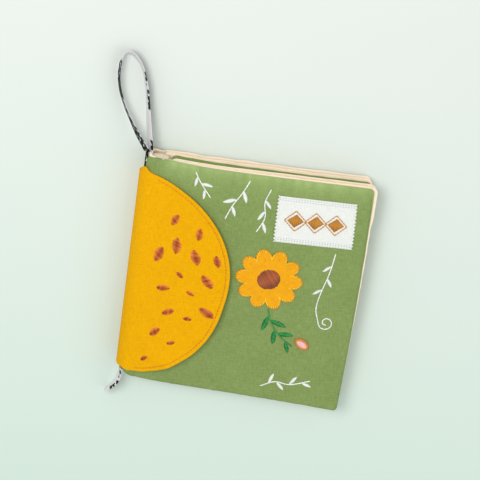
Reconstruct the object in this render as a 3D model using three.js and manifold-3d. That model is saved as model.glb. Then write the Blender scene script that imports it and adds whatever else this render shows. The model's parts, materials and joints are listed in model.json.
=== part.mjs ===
// Crinkle cloth book with a wrap-round flap, lying shut on its back cover.
// Millimetres. x runs from the hinge line in the spine to the fore edge, y from the foot to the
// head, z up from the surface that the book lies on. The group at the end centres the book block.
import * as THREE from 'three';
import { mergeVertices } from 'three/addons/utils/BufferGeometryUtils.js';
import Module from 'manifold-3d';

const wasm = await Module();
wasm.setup();

// Driving dimensions of the leaves
const leafHeight = 180; // foot to head, seam to seam
const frontCoverReach = 160; // hinge line to the fore-edge seam of the front cover
const leafStep = 0.7; // each leaf behind the front cover is this much shorter than the one above
const leafThickness = 5.6;
const leafGap = 0.5;
const cornerRadius = 5;
const edgeDraw = 0.8; // how far the head and foot seams draw in between their ends
const crownDrop = 0.6; // how far each padded face falls at its seams
const crownWidth = 15;
const spineCrownWidth = 8;
const wallBulge = 1.4; // how far the padded side walls stand out past the seam
const faceCloth = 0.8;
const liningCloth = 0.8;
const filmThickness = 0.3;
const fit = 0.3; // clearance between neighbouring layers

// Driving dimensions of the spine, from the middle out
const foldRadius = 1.0;
const foldWall = 1.8;
const spineLiningWall = 2.8;
const spineCloth = 0.5;
const ribbonThickness = 0.4;
const bandCloth = 0.6;
const hubClearance = 0.5;
const spineLength = 177;
const coverTip = 1.5; // where the cover faces end, measured from the hinge line
const coverRiseEnd = 22; // where they are back at full thickness

// Driving dimensions of the flap
const flapRadius = 80;
const flapCentreX = -16;
const flapCentreY = -1;
const flapCloth = 0.5;
const flapInterfacing = 0.3;
const flapLining = 0.5;
const flapLayerGap = 0.2;
const flapLift = 2; // how far the free edge stands up from the cover
const flapLiftStart = 45; // distance from the flap's centre where it begins to rise
const flapStitchInset = 2.2;
const threadRadius = 0.35;

// Driving dimensions of the ribbon
const ribbonWidth = 10;
const ribbonEnd = 92.5; // where the sewn stretch ends, past the head and the foot of the leaves

// Driving dimensions of the label, the appliqué and the embroidery
const labelLength = 58.5;
const labelWidth = 36.5;
const labelFromForeEdge = 38.5; // to the label's middle
const labelFromHead = 31;
const labelTurn = 1.2; // degrees
const labelThickness = 0.5;
const labelTooth = 1.1;
const labelToothCount = 13;
const flowerFromFlap = 6; // between the flap's edge and the petals
const flowerY = 9;
const flowerRadius = 24;
const petalCount = 10;
const petalNotch = 0.3; // how deep the notches between petals are, as a share of the radius
const flowerCentreRadius = 8.5;
const feltThickness = 0.6;
const embroideryThickness = 0.4;
const embroideryDome = 0.2;
const stemLine = 1.2;
const stemLeafLength = 13;
const stemLeafWidth = 4.6;
const budLength = 11;
const budWidth = 6.5;
const sprigLine = 0.9;
const sprigLeafLength = 9;
const sprigLeafWidth = 2.8;
const sprigLeafLean = 42; // degrees between a leaf and its stem
const curlRadius = 6;
const spotCount = 16;
const spotLength = 10.5;
const spotWidth = 5.2;
const spotMargin = 8; // from the flap's edge and from the spine to the middle of a spot

// What follows from them
const leafPitch = leafThickness + leafGap;
const flapThickness = flapLining + flapInterfacing + flapCloth + 2 * flapLayerGap;
// The hinge line is at half the height of the shut stack, so what opens lands in a mirrored slot.
const axisHeight = (4 * leafPitch - leafGap + fit + flapThickness) / 2;
const foldOuter = foldRadius + foldWall;
const spineLiningInner = foldOuter + fit;
const spineLiningOuter = spineLiningInner + spineLiningWall;
const spineCoverInner = spineLiningOuter + fit;
const spineCoverOuter = spineCoverInner + spineCloth;
const ribbonInner = spineCoverOuter + fit;
const ribbonOuter = ribbonInner + ribbonThickness;
const bandInner = ribbonOuter + fit;
const bandOuter = bandInner + bandCloth;
const hubRadius = bandOuter + hubClearance; // everything that swings past the spine stays outside it
const facetAllowance = 0.15;
const hubFace = hubRadius + facetAllowance;
const coverTipHeight = hubRadius + faceCloth + fit;
const trayRim = faceCloth + fit;
const labelCentreX = frontCoverReach - labelFromForeEdge;
const labelCentreY = leafHeight / 2 - labelFromHead;
const flowerX = flapCentreX + flapRadius + flowerFromFlap + flowerRadius;

const clamp01 = (t) => Math.min(1, Math.max(0, t));
const smooth = (t) => clamp01(t) ** 2 * (3 - 2 * clamp01(t));
const radians = THREE.MathUtils.degToRad;

function cloth(colour, roughness = 0.95) {
  return new THREE.MeshStandardMaterial({ color: colour, roughness, metalness: 0 });
}

const colours = {
  green: cloth(0x8a9e5c),
  cream: cloth(0xf7e6cc),
  yellow: cloth(0xe8a810),
  brown: cloth(0xb0522a, 0.6),
  white: cloth(0xebebe8, 0.7),
  ochre: cloth(0xbf801c, 0.6),
  emerald: cloth(0x1c8244, 0.6),
  pink: cloth(0xebb4be, 0.7),
  wadding: cloth(0xf4f4f0),
  film: cloth(0xdfe6e8, 0.35),
  ribbon: cloth(0xd9d7d6, 0.6),
};

function solidOf(geometry) {
  const bare = new THREE.BufferGeometry();
  bare.setAttribute('position', geometry.getAttribute('position'));
  bare.setIndex(geometry.index);
  const merged = mergeVertices(bare, 1e-4);
  const vertProperties = new Float32Array(merged.attributes.position.array);
  const triVerts = new Uint32Array(merged.index.array);
  return new wasm.Manifold(new wasm.Mesh({ numProp: 3, vertProperties, triVerts }));
}

function geometryOf(solid) {
  const { vertProperties, triVerts } = solid.getMesh();
  const geometry = new THREE.BufferGeometry();
  geometry.setAttribute('position', new THREE.BufferAttribute(new Float32Array(vertProperties), 3));
  geometry.setIndex(new THREE.BufferAttribute(new Uint32Array(triVerts), 1));
  return geometry;
}

function union(geometries) {
  return geometryOf(geometries.map(solidOf).reduce((a, b) => a.add(b)));
}

function piece(name, geometry, material) {
  const flat = geometry.index ? geometry.toNonIndexed() : geometry;
  flat.computeVertexNormals();
  const mesh = new THREE.Mesh(flat, material);
  mesh.name = name;
  return mesh;
}

function closedGeometry(positions, index) {
  const geometry = new THREE.BufferGeometry();
  geometry.setAttribute('position', new THREE.Float32BufferAttribute(positions, 3));
  geometry.setIndex(index);
  return geometry;
}

// A sheet or pad over a plan of columns in x and shares of the half height in y. Its rim can carry
// a ring at mid-height that stands out by belly(x).
function pad({ columns, rows, half, top, bottom, centreY = 0, belly = null }) {
  const positions = [];
  const index = [];
  const perLayer = columns.length * rows.length;
  const at = (layer, i, j) => layer * perLayer + i * rows.length + j;
  for (const surface of [top, bottom]) {
    for (const x of columns) {
      for (const row of rows) {
        const y = centreY + row * half(x);
        positions.push(x, y, surface(x, y));
      }
    }
  }
  for (let i = 0; i < columns.length - 1; i++) {
    for (let j = 0; j < rows.length - 1; j++) {
      const corners = [[i, j], [i + 1, j], [i + 1, j + 1], [i, j + 1]];
      const [a, b, c, d] = corners.map(([u, v]) => at(0, u, v));
      index.push(a, b, c, a, c, d);
      const [e, f, g, h] = corners.map(([u, v]) => at(1, u, v));
      index.push(e, g, f, e, h, g);
    }
  }
  const rim = [];
  const lastColumn = columns.length - 1;
  const lastRow = rows.length - 1;
  for (let i = 0; i < lastColumn; i++) rim.push([i, 0]);
  for (let j = 0; j < lastRow; j++) rim.push([lastColumn, j]);
  for (let i = lastColumn; i > 0; i--) rim.push([i, lastRow]);
  for (let j = lastRow; j > 0; j--) rim.push([0, j]);
  const point = (vertex) => new THREE.Vector3().fromArray(positions, vertex * 3);
  const count = rim.length;
  const ringStart = 2 * perLayer;
  if (belly) {
    for (let k = 0; k < count; k++) {
      const before = point(at(0, ...rim[(k + count - 1) % count]));
      const after = point(at(0, ...rim[(k + 1) % count]));
      const out = new THREE.Vector3(after.y - before.y, before.x - after.x, 0).normalize();
      const middle = point(at(0, ...rim[k])).add(point(at(1, ...rim[k]))).multiplyScalar(0.5);
      middle.addScaledVector(out, belly(middle.x));
      positions.push(middle.x, middle.y, middle.z);
    }
  }
  for (let k = 0; k < count; k++) {
    const next = (k + 1) % count;
    const [t0, t1] = [at(0, ...rim[k]), at(0, ...rim[next])];
    const [b0, b1] = [at(1, ...rim[k]), at(1, ...rim[next])];
    if (!belly) {
      index.push(b0, b1, t1, b0, t1, t0);
      continue;
    }
    const [m0, m1] = [ringStart + k, ringStart + next];
    index.push(b0, b1, m1, b0, m1, m0, m0, m1, t1, m0, t1, t0);
  }
  return closedGeometry(positions, index);
}

// A patch of cloth or stitching: an outline about its middle, lying on a surface.
function patch(middle, outline, surface, lift, thickness, dome = 0) {
  const positions = [];
  const index = [];
  const count = outline.length;
  for (const [height, crown] of [[lift + thickness, dome], [lift, 0]]) {
    for (const [x, y] of outline) positions.push(x, y, surface(x, y) + height);
    positions.push(middle[0], middle[1], surface(...middle) + height + crown);
  }
  const under = count + 1;
  for (let k = 0; k < count; k++) {
    const next = (k + 1) % count;
    index.push(count, k, next, under + count, under + next, under + k);
    index.push(under + k, under + next, next, under + k, next, k);
  }
  return closedGeometry(positions, index);
}

// A line of stitching or a cord laid on a surface, along points in the plan.
function strip(points, width, surface, lift, thickness, closed = false) {
  const positions = [];
  const index = [];
  const count = points.length;
  for (let k = 0; k < count; k++) {
    const before = points[closed ? (k + count - 1) % count : Math.max(0, k - 1)];
    const after = points[closed ? (k + 1) % count : Math.min(count - 1, k + 1)];
    const length = Math.hypot(after[0] - before[0], after[1] - before[1]);
    const side = [(before[1] - after[1]) / length, (after[0] - before[0]) / length];
    for (const [across, height] of [[-1, 0], [1, 0], [1, thickness], [-1, thickness]]) {
      const x = points[k][0] + (across * side[0] * width) / 2;
      const y = points[k][1] + (across * side[1] * width) / 2;
      positions.push(x, y, surface(x, y) + lift + height);
    }
  }
  for (let k = 0; k < (closed ? count : count - 1); k++) {
    const here = 4 * k;
    const there = 4 * ((k + 1) % count);
    for (let c = 0; c < 4; c++) {
      const d = (c + 1) % 4;
      index.push(here + c, here + d, there + d, here + c, there + d, there + c);
    }
  }
  if (!closed) {
    const end = 4 * (count - 1);
    index.push(0, 3, 2, 0, 2, 1, end, end + 1, end + 2, end, end + 2, end + 3);
  }
  return closedGeometry(positions, index);
}

function curvePoints(controls, steps) {
  const curve = new THREE.CatmullRomCurve3(controls.map(([x, y]) => new THREE.Vector3(x, y, 0)));
  return curve.getPoints(steps).map((p) => [p.x, p.y]);
}

// A pointed leaf or seed outline with its ends on the line at the given angle.
function lens(x, y, length, width, degrees, steps = 5) {
  const angle = radians(degrees);
  const outline = [];
  for (const sideways of [-1, 1]) {
    for (let k = 0; k < steps; k++) {
      const along = -sideways * (0.5 - k / steps) * length;
      const across = (-sideways * width * Math.cos((Math.PI * along) / length)) / 2;
      outline.push([
        x + along * Math.cos(angle) - across * Math.sin(angle),
        y + along * Math.sin(angle) + across * Math.cos(angle),
      ]);
    }
  }
  return outline;
}

// Leaves: each has a slot in the stack, a face cloth on one side and a lining tray on the other.
const fineRows = [-1, -0.967, -0.917, -0.833, 0, 0.833, 0.917, 0.967, 1];
const coarseRows = [-1, -0.917, -0.833, 0.833, 0.917, 1];

function halfHeight(x, reach, inset = 0) {
  const drawnIn = edgeDraw * Math.sin(Math.PI * clamp01(x / reach));
  const straight = leafHeight / 2 - drawnIn - inset;
  const past = x - (reach - inset - cornerRadius);
  if (past <= 0) return straight;
  return straight - cornerRadius + Math.sqrt(Math.max(0, cornerRadius ** 2 - past ** 2));
}

const middleColumn = (riseEnd, reach) => (riseEnd + reach - crownWidth) / 2;

function leafColumns(start, riseEnd, reach) {
  const rise = [0, 0.15, 0.32, 0.5, 0.72, 1].map((t) => start + t * (riseEnd - start));
  const middle = middleColumn(riseEnd, reach);
  const corner = [0, 30, 60, 90].map((a) => reach - cornerRadius * (1 - Math.sin(radians(a))));
  return [...rise, middle, reach - crownWidth, reach - 0.55 * crownWidth, ...corner];
}

function makeLeaf(slot, faceUp, isCover) {
  const low = slot * leafPitch;
  const high = low + leafThickness;
  const up = faceUp ? 1 : -1;
  const leaf = {
    up,
    reach: frontCoverReach - (3 - slot) * leafStep,
    start: isCover ? coverTip : hubRadius,
    trayStart: isCover ? hubRadius / 2 : hubRadius,
    paddingStart: isCover ? hubRadius + 3 * fit : hubRadius + liningCloth + fit,
    riseEnd: isCover ? coverRiseEnd : hubRadius + spineCrownWidth,
  };
  const crown = (x, y) => {
    const fore = 1 - clamp01((leaf.reach - x) / crownWidth);
    const side = 1 - clamp01((halfHeight(x, leaf.reach) - Math.abs(y)) / crownWidth);
    const spine = isCover ? 0 : 1 - clamp01((x - leaf.start) / spineCrownWidth);
    return crownDrop * Math.min(1, Math.hypot(fore, side, spine)) ** 2;
  };
  const faceLevel = faceUp ? high : low;
  const liningLevel = faceUp ? low : high;
  const tipFall = isCover ? Math.abs(faceLevel - axisHeight) - coverTipHeight : 0;
  const fall = (x) => tipFall * (1 - smooth((x - leaf.start) / (leaf.riseEnd - leaf.start)));
  leaf.face = (x, y) => faceLevel - up * (crown(x, y) + fall(x));
  leaf.lining = (x, y) => {
    const level = liningLevel + up * crown(x, y);
    const hub = axisHeight + up * Math.sqrt(Math.max(0, hubFace ** 2 - x ** 2));
    return !isCover ? level : up > 0 ? Math.max(level, hub) : Math.min(level, hub);
  };
  leaf.under = (depth) => (x, y) => leaf.face(x, y) - up * depth;
  leaf.overLining = (height) => (x, y) => leaf.lining(x, y) + up * height;
  return leaf;
}

// The solid between two of a leaf's surfaces, the first nearer its face.
function layer(leaf, start, riseEnd, inset, outer, inner, options = {}) {
  const { rows = fineRows, columns = leafColumns(start, riseEnd, leaf.reach - inset) } = options;
  const [top, bottom] = leaf.up > 0 ? [outer, inner] : [inner, outer];
  const half = (x) => halfHeight(x, leaf.reach, inset);
  return pad({ columns, rows, half, top, bottom, belly: options.belly });
}

function faceSheet(leaf) {
  return layer(leaf, leaf.start, leaf.riseEnd, 0, leaf.under(0), leaf.under(faceCloth));
}

function liningTray(leaf) {
  const belly = (x) => wallBulge * clamp01((x - leaf.trayStart) / spineCrownWidth);
  const block = layer(leaf, leaf.trayStart, leaf.riseEnd, 0, leaf.under(trayRim), leaf.lining, {
    belly,
  });
  const pocketStart = leaf.trayStart + liningCloth;
  const floor = leaf.overLining(liningCloth);
  const mouth = leaf.under(-faceCloth);
  const pocket = layer(leaf, pocketStart, leaf.riseEnd, liningCloth, mouth, floor);
  return geometryOf(solidOf(block).subtract(solidOf(pocket)));
}

function paddingColumns(leaf, inset) {
  const end = leaf.reach - inset;
  const edge = [crownWidth, 0.5 * crownWidth, 0.4 * cornerRadius, 0].map((d) => end - d);
  return [leaf.paddingStart, leaf.riseEnd, middleColumn(leaf.riseEnd, leaf.reach), ...edge];
}

function batting(leaf) {
  const inset = liningCloth + fit;
  const top = leaf.under(trayRim + filmThickness + fit);
  const bottom = leaf.overLining(liningCloth + fit);
  const options = { rows: coarseRows, columns: paddingColumns(leaf, inset) };
  return layer(leaf, 0, 0, inset, top, bottom, options);
}

function crinkleFilm(leaf) {
  const inset = liningCloth + fit;
  const top = leaf.under(trayRim);
  const bottom = leaf.under(trayRim + filmThickness);
  const columns = leafColumns(leaf.paddingStart, leaf.riseEnd + fit, leaf.reach - inset);
  return layer(leaf, 0, 0, inset, top, bottom, { columns });
}

const backCover = makeLeaf(0, false, true);
const rearLeaf = makeLeaf(1, true, false);
const frontLeaf = makeLeaf(2, false, false);
const frontCover = makeLeaf(3, true, true);

// Spine pieces: sections in x and height over the hinge line, drawn out along y.
function alongSpine(shape, length) {
  const geometry = new THREE.ExtrudeGeometry(shape, {
    depth: length,
    bevelEnabled: false,
    curveSegments: 8,
  });
  geometry.rotateX(Math.PI / 2);
  geometry.translate(0, length / 2, axisHeight);
  return geometry;
}

// A quarter of a tube round the hinge line. The part of it that turns back to the leaves is a
// tongue, given as points from the inner end of the quarter round to its outer end.
function quarter(inner, outer, upper, tongue = []) {
  const side = upper ? 1 : -1;
  const seam = Math.asin(fit / 2 / inner);
  const shape = new THREE.Shape();
  if (upper) {
    shape.absarc(0, 0, outer, Math.PI / 2, Math.PI - seam, false);
    shape.absarc(0, 0, inner, Math.PI - seam, Math.PI / 2, true);
  } else {
    shape.absarc(0, 0, outer, 1.5 * Math.PI, Math.PI + seam, true);
    shape.absarc(0, 0, inner, Math.PI + seam, 1.5 * Math.PI, false);
  }
  for (const [x, height] of tongue) shape.lineTo(x, side * height);
  shape.closePath();
  return shape;
}

function liningTongue(leafHeightOverAxis) {
  const rim = hubRadius - 1.5 * fit;
  const low = leafHeightOverAxis - fit;
  const reach = Math.sqrt(rim ** 2 - low ** 2);
  const onRim = (x) => [x, Math.sqrt(rim ** 2 - x ** 2)];
  const steps = [1, 0.5, 0].map((t) => coverTip + t * (reach - coverTip));
  return [[reach, low], ...steps.slice(1).map(onRim), [coverTip, spineLiningOuter]];
}

// The spine cloth climbs from its quarter to the edge of a cover's face cloth.
function coverTongue() {
  const end = coverTip - fit;
  const out = end - spineCloth;
  return [
    [end, spineCoverInner],
    [end, coverTipHeight],
    [out, coverTipHeight],
    [out, ribbonInner],
  ];
}

// The band climbs over it to the edge of the flap.
function bandTongue() {
  const low = coverTipHeight + fit;
  const out = coverTip - fit - spineCloth - fit;
  return [
    [out, bandInner],
    [out, low],
    [coverTip - fit, low],
    [coverTip - fit, low + flapThickness],
    [out - bandCloth, low + flapThickness / 2],
  ];
}

function foldTongue(nearHeight, farHeight) {
  const end = hubRadius - fit;
  return [[end, nearHeight], [end, farHeight]];
}

const frontCoverLiningHeight = 3 * leafPitch - axisHeight;
const backCoverLiningHeight = axisHeight - leafThickness;
const frontLeafLow = 2 * leafPitch - axisHeight;
const rearLeafLow = axisHeight - leafPitch;

// The flap's sheets lie on the front cover, one above the other, and rise towards the free edge.
const flapColumns = [
  ...[0, 0.25, 0.5, 0.75, 1].map((t) => coverTip + t * (coverRiseEnd - coverTip)),
  ...[54, 46, 38, 30, 22, 14, 7].map((a) => flapCentreX + flapRadius * Math.cos(radians(a))),
];
const flapRows = [-1, -0.93, -0.78, -0.4, 0, 0.4, 0.78, 0.93, 1];

function flapRise(x, y) {
  const out = Math.hypot(x - flapCentreX, y - flapCentreY) - flapLiftStart;
  const share = clamp01(out / (flapRadius - flapLiftStart));
  return flapLift * share ** 2 * clamp01(x / (flapRadius / 2));
}

const flapSurface = (height) => (x, y) => frontCover.face(x, 0) + fit + flapRise(x, y) + height;

function flapSheet(low, thickness, inset = 0) {
  const radius = flapRadius - inset;
  const half = (x) => Math.sqrt(Math.max(0, radius ** 2 - (x - flapCentreX) ** 2));
  const shrink = (x) => (x > coverRiseEnd ? flapCentreX + ((x - flapCentreX) * radius) / flapRadius : x);
  return pad({
    columns: flapColumns.map(shrink),
    rows: flapRows,
    half,
    centreY: flapCentreY,
    top: flapSurface(low + thickness),
    bottom: flapSurface(low),
  });
}

const flapTop = flapSurface(flapThickness);
const bandHalf = Math.sqrt(flapRadius ** 2 - (coverTip - flapCentreX) ** 2);

function band(upper) {
  const section = quarter(bandInner, bandOuter, upper, upper ? bandTongue() : []);
  const geometry = alongSpine(section, 2 * bandHalf);
  geometry.translate(0, flapCentreY, 0);
  return geometry;
}

function flapTopstitching() {
  const radius = flapRadius - flapStitchInset;
  const points = [];
  for (let degrees = -72; degrees <= 72; degrees += 4) {
    const angle = radians(degrees);
    points.push([
      flapCentreX + radius * Math.cos(angle),
      flapCentreY + radius * Math.sin(angle),
    ]);
  }
  return strip(points, 2 * threadRadius, flapTop, fit, threadRadius);
}

// Brown seeds spread evenly over the flap by the golden ratio, each turned and sized in its own way
function flapSpots() {
  const spots = [];
  const golden = (Math.sqrt(5) - 1) / 2;
  const nearest = coverTip + spotMargin;
  const radius = flapRadius - spotMargin;
  for (let k = 0; k < spotCount; k++) {
    const out = Math.sqrt((k + 0.5) / spotCount);
    const turn = Math.PI * (((golden * k + 0.35) % 1) - 0.5);
    const along = out * Math.cos(turn);
    const across = (out * Math.sin(turn)) / Math.sqrt(1 - along ** 2);
    const x = nearest + along * (flapCentreX + radius - nearest);
    const y = flapCentreY + across * Math.sqrt(radius ** 2 - (x - flapCentreX) ** 2);
    const size = 0.8 + 0.3 * Math.sin(2.1 * k);
    const outline = lens(x, y, spotLength * size, spotWidth * size, 67 * k);
    spots.push(patch([x, y], outline, flapTop, fit, embroideryThickness, embroideryDome));
  }
  return spots;
}

// The ribbon: a sewn stretch down the outside of the spine, a loop at the head and a short tail.
// Free stretches are given as x, y, height of the middle, and lean in degrees out from the upright.
const loopRoute = [
  [-7.1, 92.8, 12.9, 0],
  [-9.9, 96.9, 12.2, 0],
  [-15.0, 103.4, 10.4, 0],
  [-20.0, 111.0, 8.3, 2],
  [-24.6, 118.4, 6.6, 5],
  [-28.4, 125.6, 5.5, 8],
  [-31.3, 132.7, 5.2, 12],
  [-33.2, 140.1, 5.1, 17],
  [-34.0, 147.0, 5.0, 23],
  [-33.7, 153.6, 4.8, 30],
  [-32.2, 159.1, 4.6, 36],
  [-29.4, 162.2, 4.5, 38],
  [-25.6, 161.4, 4.5, 37],
  [-21.6, 157.8, 4.6, 32],
  [-18.3, 152.9, 4.8, 26],
  [-15.7, 146.6, 5.0, 20],
  [-13.6, 139.0, 5.1, 14],
  [-12.0, 131.0, 5.6, 9],
  [-10.4, 122.0, 7.0, 5],
  [-8.8, 113.0, 9.0, 2],
  [-7.0, 104.0, 11.2, 0],
  [-5.4, 96.5, 12.6, 0],
  [-4.5, 88.9, 12.9, 0],
];
const tailRoute = [
  [-7.1, -92.8, 12.9, 0],
  [-8.2, -96.4, 11.9, -8],
  [-10.2, -100.6, 9.8, -20],
  [-13.2, -104.8, 7.2, -30],
  [-17.2, -108.6, 5.0, -34],
];

function freeRibbon(route, steps) {
  const path = new THREE.CatmullRomCurve3(route.map(([x, y, z]) => new THREE.Vector3(x, y, z)));
  const leans = new THREE.CatmullRomCurve3(route.map((p, k) => new THREE.Vector3(p[3], k, 0)));
  const positions = [];
  const index = [];
  for (let k = 0; k <= steps; k++) {
    const t = k / steps;
    const middle = path.getPoint(t);
    const along = path.getTangent(t).setZ(0).normalize();
    const out = new THREE.Vector3(-along.y, along.x, 0);
    const lean = radians(leans.getPoint(t).x);
    const wide = new THREE.Vector3(0, 0, Math.cos(lean)).addScaledVector(out, Math.sin(lean));
    const thick = new THREE.Vector3().crossVectors(along, wide);
    for (const [w, h] of [[-1, -1], [1, -1], [1, 1], [-1, 1]]) {
      const corner = middle.clone();
      corner.addScaledVector(wide, (w * ribbonWidth) / 2);
      corner.addScaledVector(thick, (h * ribbonThickness) / 2);
      positions.push(corner.x, corner.y, corner.z);
    }
  }
  for (let k = 0; k < steps; k++) {
    for (let c = 0; c < 4; c++) {
      const d = (c + 1) % 4;
      const [a, b] = [4 * k + c, 4 * k + d];
      index.push(a, b, b + 4, a, b + 4, a + 4);
    }
  }
  const end = 4 * steps;
  index.push(0, 2, 1, 0, 3, 2, end, end + 1, end + 2, end, end + 2, end + 3);
  return closedGeometry(positions, index);
}

function sewnRibbon() {
  const spread = ribbonWidth / (ribbonInner + ribbonOuter);
  const shape = new THREE.Shape();
  shape.absarc(0, 0, ribbonOuter, Math.PI - spread, Math.PI + spread, false);
  shape.absarc(0, 0, ribbonInner, Math.PI + spread, Math.PI - spread, true);
  shape.closePath();
  return alongSpine(shape, 2 * ribbonEnd);
}

// Label, appliqué and embroidery on the front cover
const onCover = frontCover.face;

function labelPoint(along, across) {
  const turn = radians(labelTurn);
  return [
    labelCentreX + along * Math.cos(turn) - across * Math.sin(turn),
    labelCentreY + along * Math.sin(turn) + across * Math.cos(turn),
  ];
}

function wovenLabel() {
  const outline = [];
  for (const end of [1, -1]) {
    for (let k = 0; k <= 2 * labelToothCount; k++) {
      const across = end * labelWidth * (k / (2 * labelToothCount) - 0.5);
      const tooth = k % 2 ? labelTooth : 0;
      outline.push(labelPoint(end * (labelLength / 2 - tooth), across));
    }
  }
  return patch([labelCentreX, labelCentreY], outline, onCover, fit, labelThickness);
}

function labelStitching() {
  const inset = 2 * labelTooth;
  const [a, b] = [labelLength / 2 - inset, labelWidth / 2 - inset];
  const corners = [[-a, -b], [0, -b], [a, -b], [a, 0], [a, b], [0, b], [-a, b], [-a, 0]];
  const points = corners.map(([along, across]) => labelPoint(along, across));
  const lift = 2 * fit + labelThickness;
  return strip(points, 2 * threadRadius, onCover, lift, threadRadius, true);
}

// Three plain diamonds on a line
function labelPattern() {
  const lift = 2 * fit + labelThickness;
  const span = labelLength / 4;
  const size = labelWidth / 6;
  const line = [-1.4, 0, 1.4].map((t) => labelPoint(t * span, 0));
  const parts = [strip(line, sprigLine, onCover, lift, embroideryThickness)];
  for (const t of [-1, 0, 1]) {
    const corners = [[size, 0], [0, size], [-size, 0], [0, -size]];
    const outline = corners.map(([along, across]) => labelPoint(t * span + along, across));
    parts.push(patch(labelPoint(t * span, 0), outline, onCover, lift, embroideryThickness));
  }
  return union(parts);
}

function flowerPetals() {
  const outline = [];
  const steps = 6 * petalCount;
  for (let k = 0; k < steps; k++) {
    const angle = (2 * Math.PI * k) / steps;
    const swell = Math.abs(Math.cos((petalCount * angle) / 2)) ** 0.6;
    const radius = flowerRadius * (1 - petalNotch * (1 - swell));
    outline.push([flowerX + radius * Math.cos(angle), flowerY + radius * Math.sin(angle)]);
  }
  return patch([flowerX, flowerY], outline, onCover, fit, feltThickness);
}

function flowerCentre() {
  const outline = [];
  for (let k = 0; k < 20; k++) {
    const angle = (2 * Math.PI * k) / 20;
    outline.push([
      flowerX + flowerCentreRadius * Math.cos(angle),
      flowerY + flowerCentreRadius * Math.sin(angle),
    ]);
  }
  const lift = 2 * fit + feltThickness;
  return patch([flowerX, flowerY], outline, onCover, lift, embroideryThickness, embroideryDome);
}

// A stem with pointed leaves: the line's control points, then each leaf's place on the line, the
// side it leaves on and its size
function sprig(controls, leaves, line, leafLength, leafWidth, steps = 12) {
  const points = curvePoints(controls, steps);
  const parts = [strip(points, line, onCover, fit, embroideryThickness)];
  for (const [place, side, size] of leaves) {
    const at = Math.round(place * (steps - 1));
    const [x, y] = points[at];
    const [nx, ny] = points[at + 1];
    const heading = THREE.MathUtils.radToDeg(Math.atan2(ny - y, nx - x)) + sprigLeafLean * side;
    const reach = (size * leafLength) / 2 - line / 4;
    const cx = x + reach * Math.cos(radians(heading));
    const cy = y + reach * Math.sin(radians(heading));
    const outline = lens(cx, cy, size * leafLength, size * leafWidth, heading);
    parts.push(patch([cx, cy], outline, onCover, fit, embroideryThickness));
  }
  return union(parts);
}

// A point below the flower, in shares of its radius
const belowFlower = ([right, down]) => [
  flowerX + right * flowerRadius,
  flowerY - fit - (1 + down) * flowerRadius,
];

function flowerStem() {
  const controls = [[0.12, 0], [0.25, 0.38], [0.54, 0.8], [1, 1.12]].map(belowFlower);
  const leaves = [
    [0.2, -1, 1],
    [0.3, 1, 1],
    [0.55, -1, 0.92],
    [0.65, 1, 0.92],
    [0.9, -1, 0.77],
  ];
  return sprig(controls, leaves, stemLine, stemLeafLength, stemLeafWidth);
}

function pinkBud() {
  const [x, y] = belowFlower([1.3, 1]);
  const outline = lens(x, y, budLength, budWidth, -30, 7);
  return patch([x, y], outline, onCover, fit, feltThickness, embroideryDome);
}

// A point on the front cover, in shares of its reach and of its half height
const onPlan = ([right, up]) => [right * frontCoverReach, (up * leafHeight) / 2];

const sprigs = [
  [
    [[0.44, 0.94], [0.41, 0.82], [0.375, 0.71], [0.35, 0.59]],
    [[0.25, 1, 1.1], [0.5, -1, 1.2], [0.75, 1, 1]],
  ],
  [
    [[0.19, 0.95], [0.21, 0.89], [0.24, 0.82], [0.27, 0.755]],
    [[0.2, -1, 0.9], [0.45, 1, 1], [0.7, -1, 0.9]],
  ],
  [
    [[0.54, 0.89], [0.52, 0.77], [0.53, 0.64], [0.5, 0.51]],
    [[0.3, 1, 0.9], [0.55, -1, 1], [0.8, 1, 1]],
  ],
  [
    [[0.625, -0.87], [0.69, -0.81], [0.76, -0.82], [0.85, -0.76]],
    [[0.15, 1, 1], [0.4, -1, 1], [0.65, 1, 1], [0.88, -1, 0.9]],
  ],
];

const whiteSprig = ([controls, leaves]) =>
  sprig(controls.map(onPlan), leaves, sprigLine, sprigLeafLength, sprigLeafWidth);

// A hanging stem that ends in a curl
function tendril() {
  const controls = [[0.87, 0.4], [0.855, 0.22], [0.83, 0.04], [0.82, -0.11], [0.837, -0.21]].map(onPlan);
  const [curlX, curlY] = onPlan([0.875, -0.22]);
  for (let turn = 0; turn <= 9; turn++) {
    const angle = radians(190 + 50 * turn);
    const radius = curlRadius * (1 - 0.075 * turn);
    controls.push([curlX + radius * Math.cos(angle), curlY + radius * Math.sin(angle)]);
  }
  const leaves = [[0.12, -1, 0.9], [0.24, 1, 0.9], [0.36, -1, 0.9]];
  return sprig(controls, leaves, sprigLine, sprigLeafLength, sprigLeafWidth, 44);
}

// The book, one group for each body that swings
const book = new THREE.Group();
book.position.x = -(frontCoverReach + wallBulge - bandOuter) / 2;

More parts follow.
